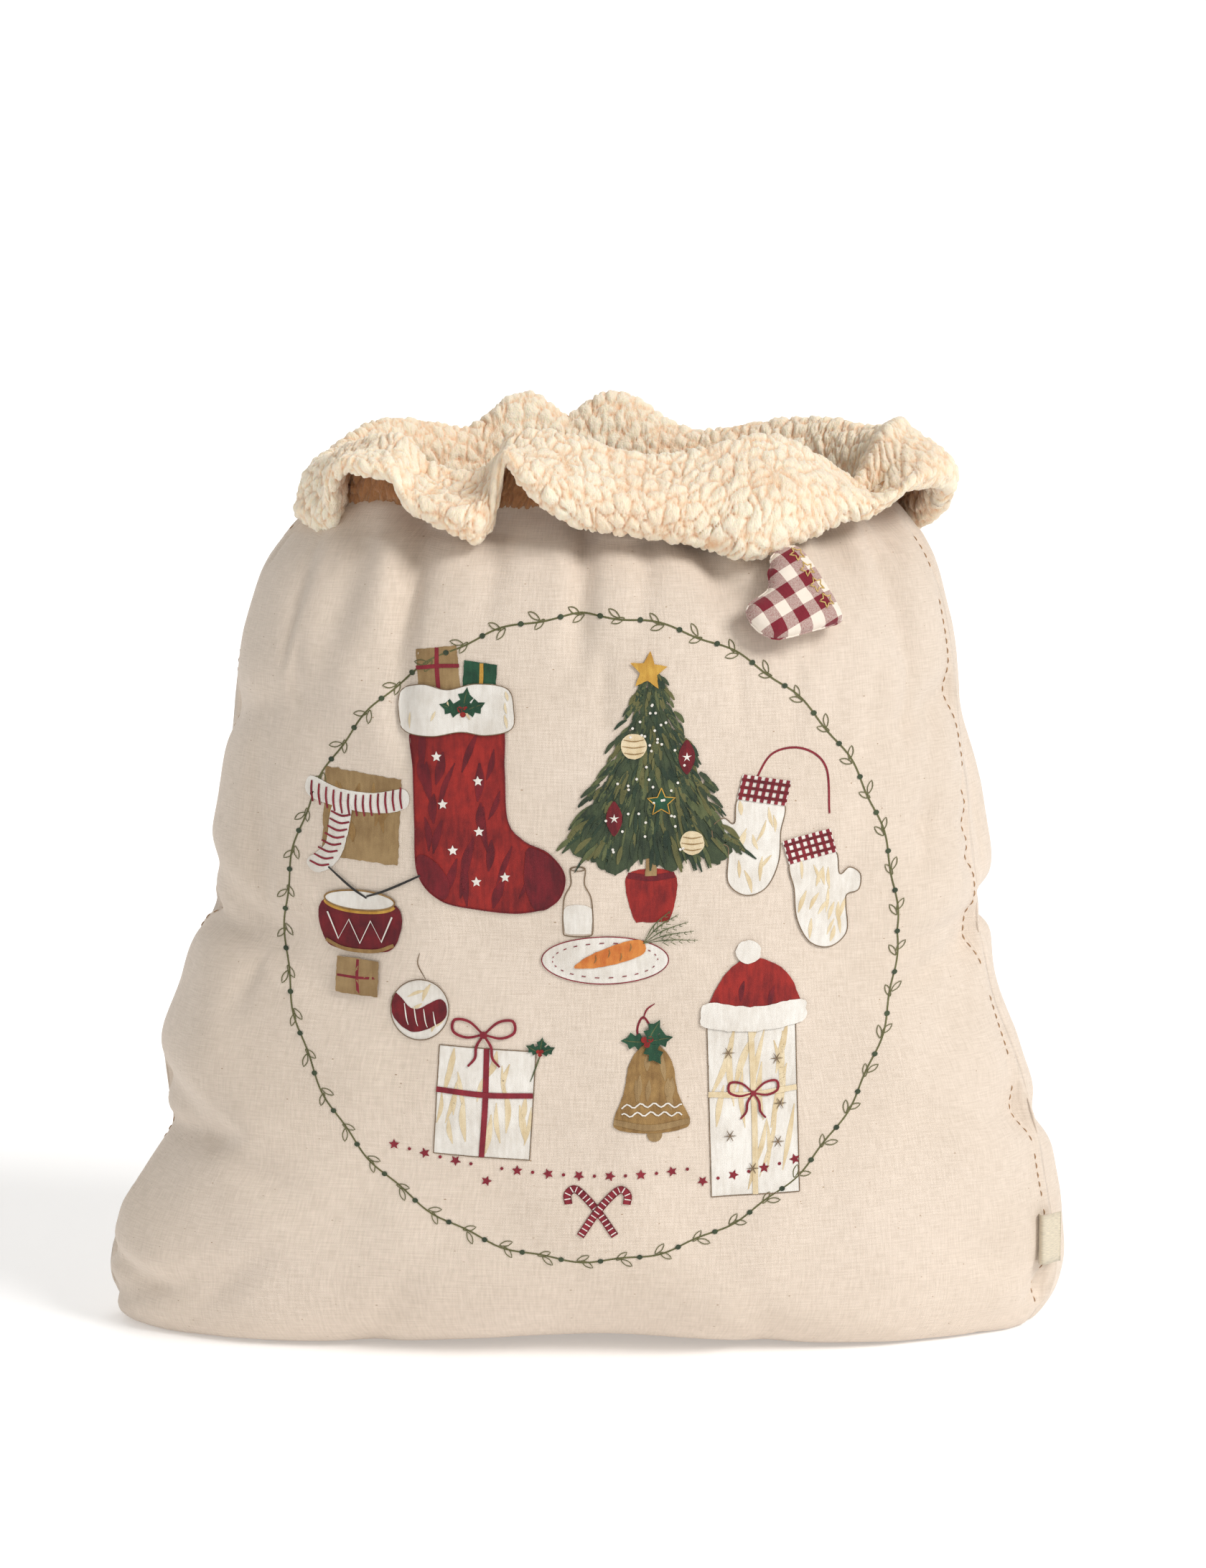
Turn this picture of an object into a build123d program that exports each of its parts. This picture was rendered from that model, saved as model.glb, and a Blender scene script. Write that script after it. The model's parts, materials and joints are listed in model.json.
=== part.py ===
from build123d import *

# Fabric gift sack: a standing canvas sack with a turned-down fleece cuff and a padded boot charm.
# Frame: millimetres, +Z up, the printed front faces -Y, and the origin is the middle of the base.
# The sack has its filled shape and is empty inside. The back of the neck slides forward to close
# the mouth, the charm lifts and swings on its ribbon, and the side label turns on its seam.

import os
from math import cos, hypot, radians, sin

# Cloth thicknesses and gaps
canvas = 1.5
fleece = 9.0
ribbon = 1.0
sewn_gap = 0.1  # between cloths that are sewn together
free_gap = 0.3  # between cloths that move past each other
fold_gap = 1.3  # between a seam's folded edge and the curved wall

# Sack body: height, width and depth of each oval section
body_sections = [
    (0, 484, 150),
    (10, 502, 180),
    (40, 516, 208),
    (90, 492, 218),
    (150, 462, 227),
    (220, 428, 235),
    (290, 412, 243),
    (350, 388, 240),
    (395, 370, 214),
    (425, 340, 156),
    (440, 304, 122),
    (450, 290, 112),
]
neck_z = 425.0  # where the neck band starts
neck_top_z = 450.0
neck_width = 290.0
neck_depth = 112.0
seam_yaw = 9.0  # degrees that the side seams are turned, the right one towards the front
seam_allowance = 10.0
bottom_seam_z = 10.0  # the bottom seam is below this height and the side seams are above it

# Fleece cuff: its middle line, as distances out from the neck's edge and heights
cuff_inner = -7.0
cuff_inner_foot_z = 436.0
cuff_crown_z = 474.0
cuff_outer = 20.0
cuff_hem = 24.0
cuff_hem_z = 436.5
slide_half_width = 90.0  # half the length of neck that slides
beyond = 400.0  # larger than the sack, for cutting boxes

# Boot charm: its plane leans on the front's upper right slope
charm_pivot = (93.0, -83.5, 431.5)
charm_lean = 28.0  # degrees that its face looks up
charm_turn = 20.0  # degrees that its face looks to the right
charm_hang = 26.0  # degrees that it hangs askew on its ribbon
charm_half = 7.0
charm_cloth = 1.0
charm_edge = 5.0
charm_gap = 1.2  # below the ribbon loop, room for the boot to swing
boot_corner = 4.0
# across and up from the middle of the boot's top: the leg, the heel, the toe that slopes up, and the instep
boot_outline = [
    (-11.0, 0.0),
    (11.0, 0.0),
    (7.5, -47.0),
    (-31.0, -38.5),
    (-37.5, -29.0),
    (-36.0, -17.0),
    (-16.0, -14.5),
]

# Ribbon that the charm hangs on
ribbon_width = 5.0
loop_length = 5.0  # from the pivot to the loop's foot
tab_length = 24.0  # from the neck band to the pivot
tab_rise = 4.2
pivot_gap = 1.0

# Gold stars on the charm
star_radius = 4.5
star_waist = 0.45  # inner radius as a share of the outer radius
star_thread = 0.5
star_places = [(3.5, -6.5), (3.0, -16.0), (2.5, -25.5), (2.0, -35.0)]

# Side label, a woven tab caught in the right side seam
label_width = 13.0
label_height = 27.0
label_low_z = 37.0
label_thickness = 1.0
label_stand_off = 0.8
label_section_width = 516.0  # the body's oval section at the label
label_section_depth = 209.0


def sack_form(allowance, foot_z, top_z):
    """The solid inside the body's oval sections, drawn in by an allowance."""
    end_levels = {body_sections[0][0]: foot_z, body_sections[-1][0]: top_z}
    with BuildPart() as form:
        for height, width, depth in body_sections:
            with BuildSketch(Plane.XY.offset(end_levels.get(height, height))):
                Ellipse(width / 2 - allowance, depth / 2 - allowance)
        loft()
    return form.part


def seam_reach(width, depth):
    """How far an oval section reaches from the middle along the seam plane."""
    return 1 / hypot(cos(radians(seam_yaw)) * 2 / width, sin(radians(seam_yaw)) * 2 / depth)


def between(part, low_z, high_z):
    """The slice of a part between two heights."""
    with BuildPart() as piece:
        add(part)
        split(bisect_by=Plane.XY.offset(low_z), keep=Keep.TOP)
        split(bisect_by=Plane.XY.offset(high_z), keep=Keep.BOTTOM)
    return piece


def one_side(part, plane, keep):
    """The part of a solid on one side of a plane."""
    with BuildPart() as piece:
        add(part)
        split(bisect_by=plane, keep=keep)
    return piece


def sliding_length(part):
    """The stretch at the back of a neck ring that slides forward to close the mouth."""
    with BuildPart() as piece:
        add(part)
        with Locations((0, beyond / 2, neck_top_z)):
            Box(2 * slide_half_width, beyond, beyond, mode=Mode.INTERSECT)
    return piece


def standing_length(part):
    """What stays of a neck ring beside the sliding stretch."""
    with BuildPart() as piece:
        add(part)
        with Locations((0, beyond / 2, neck_top_z)):
            Box(2 * (slide_half_width + free_gap), beyond, beyond, mode=Mode.SUBTRACT)
    return piece


seam_plane = Plane(
    origin=(0, 0, 0),
    x_dir=(cos(radians(seam_yaw)), -sin(radians(seam_yaw)), 0),
    z_dir=(-sin(radians(seam_yaw)), -cos(radians(seam_yaw)), 0),
)
outside = sack_form(0, 0, neck_top_z)
inside = sack_form(canvas, canvas, neck_top_z + canvas)

# Canvas wall, cut into the two panels and the neck band
with BuildPart() as wall:
    add(outside)
    add(inside, mode=Mode.SUBTRACT)
lower_wall = between(wall.part, 0, neck_z - free_gap)
front_panel = one_side(lower_wall.part, seam_plane, Keep.TOP)
back_panel = one_side(lower_wall.part, seam_plane, Keep.BOTTOM)
neck_ring = between(wall.part, neck_z, neck_top_z)
neck_band_back = sliding_length(neck_ring.part)
neck_band_front = standing_length(neck_ring.part)

# Seam allowances: narrow strips in the seam plane, which follow the inside of the wall
side_sections = [s for s in body_sections if bottom_seam_z <= s[0] <= neck_z]
seam_edge = [(seam_reach(w, d) - canvas - fold_gap, z) for z, w, d in side_sections]
with BuildPart() as seam_strip:
    with BuildSketch(seam_plane):
        with BuildLine():
            outer_edge = Spline(*seam_edge)
            inner_edge = Spline(*[(x - seam_allowance, z) for x, z in seam_edge])
            Line(outer_edge @ 0, inner_edge @ 0)
            Line(outer_edge @ 1, inner_edge @ 1)
        make_face()
    extrude(amount=canvas / 2, both=True)
right_side_seam = between(seam_strip.part, bottom_seam_z, neck_z - free_gap)
with BuildPart() as left_side_seam:
    add(right_side_seam.part.rotate(Axis.Z, 180))
with BuildPart() as bottom_seam:
    with BuildSketch(seam_plane):
        with Locations((0, canvas + sewn_gap)):
            foot_reach = seam_reach(*body_sections[0][1:]) - canvas - fold_gap
            Rectangle(
                2 * foot_reach,
                bottom_seam_z - canvas - 2 * sewn_gap,
                align=(Align.CENTER, Align.MIN),
            )
    extrude(amount=canvas / 2, both=True)

# Fleece cuff: a folded-over section carried round the neck, then cut into its four lengths
cuff_section_plane = Plane(origin=(neck_width / 2, 0, 0), x_dir=(1, 0, 0), z_dir=(0, -1, 0))
with BuildPart() as cuff_ring:
    with BuildLine() as neck_edge:
        EllipticalCenterArc((0, 0), neck_width / 2, neck_depth / 2, arc_size=360)
    with BuildSketch(cuff_section_plane):
        with BuildLine():
            inner_leg = Line((cuff_inner, cuff_inner_foot_z), (cuff_inner, cuff_crown_z))
            crown = TangentArc(inner_leg @ 1, (cuff_outer, cuff_crown_z), tangent=(0, 1))
            Line(crown @ 1, (cuff_hem, cuff_hem_z))
        trace(line_width=fleece)
    sweep(path=neck_edge.wire())
cuff_back = sliding_length(cuff_ring.part)
cuff_rest = standing_length(cuff_ring.part)
cuff_left = one_side(cuff_rest.part, Plane.YZ.offset(-slide_half_width - free_gap), Keep.BOTTOM)
cuff_right = one_side(cuff_rest.part, Plane.YZ.offset(slide_half_width + free_gap), Keep.TOP)
with BuildPart() as cuff_front:
    add(cuff_ring.part)
    with Locations((0, -beyond / 2, neck_top_z)):
        Box(2 * slide_half_width, beyond, beyond, mode=Mode.INTERSECT)

# Plane of the charm: its X runs across the boot, its -Y down the leg, its Z out of the face
turn = radians(charm_turn)
lean = radians(charm_lean)
across = Vector(cos(turn), sin(turn), 0)
face = Vector(cos(lean) * sin(turn), -cos(lean) * cos(turn), sin(lean))
boot_plane = Plane(
    origin=charm_pivot,
    x_dir=across.rotate(Axis((0, 0, 0), face), charm_hang),
    z_dir=face,
)

# Ribbon tab from the neck band to the pivot, under the cuff's hem
tab_plane = Plane(
    origin=charm_pivot,
    x_dir=across,
    z_dir=(sin(turn) * tab_rise / tab_length, -cos(turn) * tab_rise / tab_length, 1),
)
with BuildPart() as charm_tab:
    with BuildSketch(tab_plane.offset(-ribbon / 2)):
        with Locations((0, pivot_gap)):
            Rectangle(
                ribbon_width,
                hypot(tab_length, tab_rise) + seam_allowance,
                align=(Align.CENTER, Align.MIN),
            )
    extrude(amount=ribbon)
    add(sack_form(-sewn_gap, 0, neck_top_z), mode=Mode.SUBTRACT)

# Ribbon loop between the tab and the boot
with BuildPart() as charm_loop:
    with BuildSketch(boot_plane.offset(-ribbon / 2)):
        with Locations((0, -pivot_gap)):
            Rectangle(ribbon_width, loop_length - pivot_gap, align=(Align.CENTER, Align.MAX))
    extrude(amount=ribbon)


boot_top = -loop_length - charm_gap


def boot_form(inset):
    """The padded boot, drawn in by an inset."""
    with BuildPart() as form:
        with BuildSketch(boot_plane) as outline:
            with BuildLine():
                Polyline(*[(x, boot_top + y) for x, y in boot_outline], close=True)
            make_face()
            fillet(outline.vertices(), radius=boot_corner)
            offset(amount=-inset)
        extrude(amount=charm_half - inset, both=True)
        fillet(form.faces().filter_by(boot_plane).edges(), radius=charm_edge - inset)
    return form.part


boot_outside = boot_form(0)
with BuildPart() as boot_shell:
    add(boot_outside)
    add(boot_form(charm_cloth), mode=Mode.SUBTRACT)
charm_front = one_side(boot_shell.part, boot_plane, Keep.TOP)
charm_back = one_side(boot_shell.part, boot_plane, Keep.BOTTOM)
with BuildPart() as charm_filling:
    add(boot_form(charm_cloth + sewn_gap))

# Gold stars stitched down the boot's leg
star_outline = [
    (radius * sin(radians(turn_angle)), radius * cos(radians(turn_angle)))
    for turn_angle, radius in zip(range(0, 360, 36), 5 * (star_radius, star_radius * star_waist))
]
with BuildPart() as charm_embroidery:
    with BuildSketch(boot_plane.offset(charm_half)):
        with Locations(*[(x, boot_top + y) for x, y in star_places]):
            Polygon(*star_outline, align=None)
    extrude(amount=star_thread)

# Side label: a woven tab that stands a little off the seam, along the body's tangent there
label_reach = seam_reach(label_section_width, label_section_depth)
seam_x = label_reach * cos(radians(seam_yaw))
seam_y = -label_reach * sin(radians(seam_yaw))
outward = Vector(seam_x / label_section_width**2, seam_y / label_section_depth**2, 0).normalized()
label_plane = Plane(
    origin=Vector(seam_x, seam_y, label_low_z) + outward * label_stand_off,
    x_dir=(-outward.Y, outward.X, 0),
    z_dir=outward,
)
with BuildPart() as side_label:
    with BuildSketch(label_plane):
        Rectangle(label_width, label_height, align=(Align.MIN, Align.MIN))
    extrude(amount=label_thickness)

pieces = {
    "front_panel": front_panel,
    "back_panel": back_panel,
    "left_side_seam": left_side_seam,
    "right_side_seam": right_side_seam,
    "bottom_seam": bottom_seam,
    "neck_band_front": neck_band_front,
    "neck_band_back": neck_band_back,
    "cuff_front": cuff_front,
    "cuff_back": cuff_back,
    "cuff_left": cuff_left,
    "cuff_right": cuff_right,
    "charm_tab": charm_tab,
    "charm_loop": charm_loop,
    "charm_front": charm_front,
    "charm_back": charm_back,
    "charm_filling": charm_filling,
    "charm_embroidery": charm_embroidery,
    "side_label": side_label,
}
os.makedirs("parts", exist_ok=True)
for label, piece in pieces.items():
    piece.part.label = label
    export_step(piece.part, f"parts/{label}.step")
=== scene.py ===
"""A filled canvas gift sack with a turned-down fleece cuff, a padded boot charm and a printed front.

Shapes are worked out in millimetres in the row frame and scaled to metres as each mesh is made.
"""
import json
import math

import bpy
import numpy as np
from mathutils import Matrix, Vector, geometry, noise
from mathutils.bvhtree import BVHTree

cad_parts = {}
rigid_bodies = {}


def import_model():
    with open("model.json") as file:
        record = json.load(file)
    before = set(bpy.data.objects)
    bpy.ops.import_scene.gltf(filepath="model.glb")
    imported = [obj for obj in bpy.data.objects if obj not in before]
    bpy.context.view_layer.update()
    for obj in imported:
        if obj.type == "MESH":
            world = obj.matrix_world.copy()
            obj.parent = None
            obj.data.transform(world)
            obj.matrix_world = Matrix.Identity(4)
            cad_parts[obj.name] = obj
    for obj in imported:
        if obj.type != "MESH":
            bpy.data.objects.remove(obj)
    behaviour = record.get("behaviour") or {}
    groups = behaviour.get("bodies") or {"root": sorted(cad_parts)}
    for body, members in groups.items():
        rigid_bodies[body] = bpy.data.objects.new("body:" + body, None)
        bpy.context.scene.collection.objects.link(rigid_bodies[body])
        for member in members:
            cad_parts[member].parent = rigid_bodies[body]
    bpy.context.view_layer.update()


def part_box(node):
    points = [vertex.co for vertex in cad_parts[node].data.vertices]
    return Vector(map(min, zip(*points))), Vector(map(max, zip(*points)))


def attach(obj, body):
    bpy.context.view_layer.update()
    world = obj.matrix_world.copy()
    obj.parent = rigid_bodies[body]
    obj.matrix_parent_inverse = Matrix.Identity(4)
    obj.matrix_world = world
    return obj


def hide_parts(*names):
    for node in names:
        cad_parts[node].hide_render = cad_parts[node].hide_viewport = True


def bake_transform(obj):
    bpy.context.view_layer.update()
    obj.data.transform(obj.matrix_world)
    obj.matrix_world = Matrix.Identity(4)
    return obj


for leftover in list(bpy.data.objects):
    bpy.data.objects.remove(leftover)
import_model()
MM = 0.001
SQUARE = np.array([(-1, -1, 0), (1, -1, 0), (1, 1, 0), (-1, 1, 0)])
scene = bpy.context.scene
noise.seed_set(7)  # without a seed, noise_vector differs from run to run


# ---------------------------------------------------------------- meshes
def new_mesh(name, points, faces, materials=(), face_materials=None, uvs=None, smooth=True):
    """a mesh object from points in mm; uvs holds one (u, v) in mm for each point"""
    mesh = bpy.data.meshes.new(name)
    mesh.from_pydata((np.asarray(points, float) * MM).tolist(), [], [tuple(map(int, f)) for f in faces])
    mesh.update()
    for material in materials:
        mesh.materials.append(material)
    if face_materials is not None:
        mesh.polygons.foreach_set("material_index", np.asarray(face_materials, np.int32))
    if uvs is not None:
        layer = mesh.uv_layers.new(name="cloth")
        corners = np.zeros(len(mesh.loops), np.int32)
        mesh.loops.foreach_get("vertex_index", corners)
        layer.data.foreach_set("uv", (np.asarray(uvs, float) * MM)[corners].astype(np.float32).ravel())
    mesh.polygons.foreach_set("use_smooth", np.full(len(mesh.polygons), smooth))
    piece = bpy.data.objects.new(name, mesh)
    scene.collection.objects.link(piece)
    return piece


def grid_faces(rows, columns, wrap_columns=False, flip=False):
    """quads of a grid whose points are numbered row by row"""
    last_column = columns if wrap_columns else columns - 1
    row, left = np.meshgrid(np.arange(rows - 1), np.arange(last_column), indexing="ij")
    right = (left + 1) % columns
    row, above = row * columns, (row + 1) * columns
    quads = np.stack([row + left, row + right, above + right, above + left], -1).reshape(-1, 4)
    return quads[:, ::-1] if flip else quads


def unit(vectors):
    """the vectors at length 1"""
    return vectors / (np.linalg.norm(vectors, axis=-1, keepdims=True) + 1e-9)


def distance_along(line):
    """how far each point of a line is from its start"""
    return np.concatenate([[0], np.cumsum(np.linalg.norm(np.diff(line, axis=0), axis=1))])


def hermite(xs, ys, x):
    """a smooth curve through the points xs, ys"""
    xs, ys = np.asarray(xs, float), np.asarray(ys, float)
    slope = np.gradient(ys, xs)
    k = np.clip(np.searchsorted(xs, x, side="right") - 1, 0, len(xs) - 2)
    h = xs[k + 1] - xs[k]
    t = (x - xs[k]) / h
    return ((2 * t**3 - 3 * t**2 + 1) * ys[k] + (t**3 - 2 * t**2 + t) * h * slope[k]
            + (3 * t**2 - 2 * t**3) * ys[k + 1] + (t**3 - t**2) * h * slope[k + 1])


def smoothstep(t):
    """a smooth rise from 0 to 1 as t goes from 0 to 1"""
    t = np.clip(t, 0, 1)
    return t * t * (3 - 2 * t)


def midpoints(grid):
    """the grid with a cubic midpoint put between each two rows"""
    ahead = np.concatenate([grid[2:], 2 * grid[-1:] - grid[-2:-1]])
    behind = np.concatenate([2 * grid[:1] - grid[1:2], grid[:-2]])
    middle = (9 * (grid[:-1] + grid[1:]) - behind - ahead) / 16
    out = np.empty((2 * len(grid) - 1,) + grid.shape[1:])
    out[0::2], out[1::2] = grid, middle
    return out


def refined(grid):
    """the grid with twice as many rows and columns"""
    rows = midpoints(grid)
    return midpoints(rows.swapaxes(0, 1)).swapaxes(0, 1)


# ---------------------------------------------------------------- material helpers
class Nodes:
    """one node material, built from its Principled shader back"""

    def __init__(self, name, roughness=0.85, **sockets):
        self.material = bpy.data.materials.new(name)
        self.material.use_nodes = True
        self.tree = self.material.node_tree
        self.shader = self.tree.nodes["Principled BSDF"]
        self.shader.inputs["Roughness"].default_value = roughness
        for socket, value in sockets.items():
            self.shader.inputs[socket.replace("_", " ")].default_value = value
        self.uv = None

    def add(self, kind, values=None, **settings):
        """a node with its settings, and its inputs by name or number"""
        node = self.tree.nodes.new(kind)
        for key, value in settings.items():
            setattr(node, key, value)
        for key, value in (values or {}).items():
            self.put(node.inputs[key], value)
        return node

    def put(self, socket, value):
        """links a socket into another one, or gives it a plain value"""
        if isinstance(value, bpy.types.NodeSocket):
            self.tree.links.new(value, socket)
        else:
            socket.default_value = value

    def cloth(self):
        """the cloth's own flat coordinates, in metres"""
        if self.uv is None:
            self.uv = self.add("ShaderNodeUVMap", uv_map="cloth").outputs[0]
        return self.uv

    def place(self):
        """the place in the row frame, in metres"""
        return self.add("ShaderNodeNewGeometry").outputs["Position"]

    def scaled(self, vector, scale):
        return self.add("ShaderNodeVectorMath", {0: vector, 1: scale}, operation="MULTIPLY").outputs[0]

    def math(self, operation, a, b=0.0):
        return self.add("ShaderNodeMath", {0: a, 1: b}, operation=operation).outputs[0]

    def noise(self, vector, scale, detail=2.0, roughness=0.5):
        values = {"Vector": vector, "Scale": scale, "Detail": detail, "Roughness": roughness}
        return self.add("ShaderNodeTexNoise", values).outputs["Fac"]

    def cells(self, vector):
        """how far a place is from the nearest cell's middle"""
        return self.add("ShaderNodeTexVoronoi", {"Vector": vector, "Scale": 1.0}).outputs["Distance"]

    def remap(self, value, low, high):
        """0 at low, 1 at high, and clamped beyond them"""
        return self.add("ShaderNodeMapRange", {"Value": value, "From Min": low, "From Max": high}).outputs[0]

    def mix(self, factor, a, b, blend="MIX"):
        node = self.add("ShaderNodeMix", data_type="RGBA", blend_type=blend)
        self.put(node.inputs[0], factor)
        self.put(node.inputs[6], a)
        self.put(node.inputs[7], b)
        return node.outputs[2]

    def colour(self, value):
        self.put(self.shader.inputs["Base Color"], value)

    def bump(self, height, strength, distance):
        """raises the surface's normal by a height"""
        values = {"Height": height, "Strength": strength, "Distance": distance}
        self.put(self.shader.inputs["Normal"], self.add("ShaderNodeBump", values).outputs[0])


def rgb(r, g, b):
    """a display colour, 0 to 255, as the linear colour a shader takes"""
    def linear(c):
        c /= 255
        return c / 12.92 if c <= 0.04045 else ((c + 0.055) / 1.055) ** 2.4
    return (linear(r), linear(g), linear(b), 1.0)


THREAD_PITCH = 0.0009
BROAD, FINE = 90.0, 1100.0  # scales along and across a thread's thick places


def woven(nodes, pitch, strength, depth):
    """a plain weave of that pitch in metres as the bump; returns the threads' uneven thickness"""
    u_v = nodes.add("ShaderNodeSeparateXYZ", {0: nodes.cloth()}).outputs
    turns = 2 * math.pi / pitch
    warp = nodes.math("SINE", nodes.math("MULTIPLY", u_v[0], turns))
    weft = nodes.math("SINE", nodes.math("MULTIPLY", u_v[1], turns))
    over = nodes.math("MULTIPLY", warp, weft)
    long_u = nodes.noise(nodes.scaled(nodes.cloth(), (BROAD, FINE, 1.0)), 1.0, 3.0)
    long_v = nodes.noise(nodes.scaled(nodes.cloth(), (FINE, BROAD, 1.0)), 1.0, 3.0)
    slubs = nodes.math("ADD", long_u, long_v)
    nodes.bump(nodes.math("ADD", nodes.math("MULTIPLY", over, 0.22), slubs), strength, depth)
    return slubs


def canvas_material():
    """unbleached plain weave with uneven threads, a faint mottle and rare brown seed flecks"""
    nodes = Nodes("canvas_weave", 0.88, Sheen_Weight=0.25, Sheen_Roughness=0.6)
    slubs = woven(nodes, THREAD_PITCH, 0.55, 0.0005)
    broad = nodes.noise(nodes.cloth(), 9.0, 3.0)
    tone = rgb(227, 212, 197)
    mottle = tuple(c * k for c, k in zip(tone, (0.93, 0.92, 0.90, 1)))
    base = nodes.mix(nodes.remap(broad, 0.3, 0.7), tone, mottle)
    threads = nodes.mix(nodes.remap(slubs, 0.72, 1.28), (0.88, 0.865, 0.84, 1), (1.06, 1.06, 1.06, 1))
    cloth = nodes.mix(1.0, base, threads, "MULTIPLY")
    seeds = nodes.cells(nodes.scaled(nodes.cloth(), (150.0, 230.0, 1.0)))
    rare = nodes.noise(nodes.cloth(), 210.0, 1.0)
    fleck = nodes.math("MULTIPLY", nodes.remap(seeds, 0.10, 0.04), nodes.remap(rare, 0.54, 0.60))
    nodes.colour(nodes.mix(fleck, cloth, rgb(150, 118, 84)))
    return nodes.material


CANVAS = canvas_material()


# ---------------------------------------------------------------- the filled sack
# height, half width to the left, half width to the right and half depth of the filled shape
SECTIONS = np.array([
    (0, 234, 230, 72), (6, 247, 240, 84), (18, 257, 251, 95), (35, 260, 257, 102), (60, 254, 255, 106),
    (90, 241, 250, 109), (113, 231, 246, 111), (128, 232, 242, 112), (155, 231, 233, 114),
    (190, 221, 219, 116), (215, 213, 216, 117), (229, 203, 215, 118), (250, 208, 215, 120),
    (285, 204, 212, 121), (330, 195, 201, 122), (370, 190, 196, 119), (400, 182, 190, 108),
    (425, 169, 180, 84), (440, 153, 166, 66), (450, 142, 152, 57)], float)
# how far round each panel reaches, in degrees from its middle, to its left and right seams
FRONT_REACH = (96, 76)
BACK_REACH = (84, 104)
# flat cloth: half width to the left and right seams, and height, in mm
CLOTH_LEFT, CLOTH_RIGHT, CLOTH_HEIGHT = 285.0, 251.0, 655.0
# pleats and creases as x, z of the deep end, x, z of the far end, width, depth
FRONT_CREASES = [
    (-205, 232, -120, 196, 7, 7), (-228, 115, -150, 125, 6, 3), (-252, 40, -190, 20, 7, 7),
    (214, 232, 120, 215, 6, 5), (208, 262, 140, 252, 6, 5), (200, 300, 90, 330, 10, 5),
    (-95, 452, -100, 360, 7, 9), (-7, 452, -5, 395, 6, 8), (150, 452, 175, 350, 9, 9),
    (60, 452, 66, 400, 7, 5), (-150, 452, -160, 390, 7, 5), (252, 30, 205, 10, 7, 8),
    (236, 120, 150, 140, 7, 5)]
BACK_CREASES = [
    (-200, 300, -110, 250, 8, 8), (214, 232, 130, 200, 7, 8), (-60, 452, -70, 330, 8, 9),
    (80, 452, 95, 360, 7, 9), (20, 452, 15, 390, 7, 7), (-140, 452, -150, 370, 8, 8),
    (-228, 115, -120, 90, 8, 7)]
# broad soft folds of the settled cloth, in the same terms
FRONT_FOLDS = [
    (52, 434, 92, 382, 9, 11), (124, 432, 162, 374, 11, 11), (-2, 434, -10, 376, 7, 9),
    (-86, 434, -108, 366, 10, 11), (-124, 426, -146, 350, 10, 8), (30, 434, 24, 388, 7, 7),
    (-214, 258, -146, 214, 10, 8), (-238, 142, -166, 98, 10, 8), (-258, 18, -180, 46, 9, 8),
    (216, 222, 152, 196, 9, 8), (242, 116, 174, 152, 9, 7), (210, 272, 146, 290, 9, 6),
    (254, 24, 192, 56, 10, 6), (-206, 330, -146, 352, 11, 6), (198, 350, 146, 328, 10, 6),
    (-120, -6, -92, 50, 10, 6), (96, -6, 80, 44, 10, 5), (-48, 434, -56, 390, 7, 6)]
BACK_FOLDS = [
    (-60, 434, -86, 370, 9, 10), (70, 434, 92, 370, 9, 10), (4, 434, 12, 376, 8, 8),
    (-214, 250, -134, 216, 10, 8), (-240, 130, -164, 96, 10, 7), (214, 230, 146, 200, 10, 8),
    (244, 110, 174, 144, 10, 7), (60, -6, 46, 50, 10, 6)]
# unevenness of the settled cloth: size of the dents and their depth
RUMPLES = ((58.0, 3.4), (27.0, 1.1))
COLUMNS, ROWS = 101, 117
GATHERED_ROWS = 3
SETTLE_FRAMES = 25
# how much of a panel's outward direction is sideways
SIDEWAYS = 0.35
# the part of the bottom fold that is smoothed after settling
EASE_MIDDLE, EASE_WIDE, EASE_HIGH, EASE_ROUNDS = 5.0, 90.0, 75.0, 60
# how much wider each side gets towards the base
SPREAD_LEFT, SPREAD_RIGHT = 0.042, 0.016


def filled_shape(u, v, reach, back):
    """where cloth point (u, v) lies on the filled sack: u from -1 to 1 across, v from 0 to 1 up"""
    heights = np.linspace(0, SECTIONS[-1, 0], 300)
    under = 30
    z = np.concatenate([np.zeros(under), heights])
    half = [np.concatenate([np.full(under, SECTIONS[0, k]), hermite(SECTIONS[:, 0], SECTIONS[:, k], heights)])
            for k in (1, 2, 3)]
    half[2][:under] = np.linspace(0, SECTIONS[0, 3], under)
    arc = np.concatenate([[0], np.cumsum(np.hypot(np.diff(half[2]), np.diff(z)))])
    left, right, depth, up = (np.interp(v * arc[-1], arc, a) for a in (*half, z))
    turn = np.radians(np.where(u < 0, u * reach[0], u * reach[1]))
    wide = np.where(np.sin(turn) < 0, left, right)
    return np.stack([wide * np.sin(turn), depth * np.cos(turn) * (1 if back else -1), up], -1)


def creased(panel, creases):
    """the panel with its pleats pressed in"""
    depth = np.zeros(panel.shape[:2])
    for x0, z0, x1, z1, width, deep in creases:
        along = np.array([x1 - x0, z1 - z0], float)
        length = np.hypot(*along)
        along /= length
        x, z = panel[..., 0] - x0, panel[..., 2] - z0
        far = (x * along[0] + z * along[1]) / length
        off = x * along[1] - z * along[0]
        fade = np.clip(np.where(far < 0, 1 + far / 0.3, 1 - far / 1.3), 0, 1)
        depth += deep * fade * np.exp(-((off / width) ** 2))
    result = panel.copy()
    result[2:, 1:-1] -= (unit(panel * (SIDEWAYS, 1, 0)) * depth[..., None])[2:, 1:-1]
    result[..., 2] = np.maximum(result[..., 2], 1.0)
    return result


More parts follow.
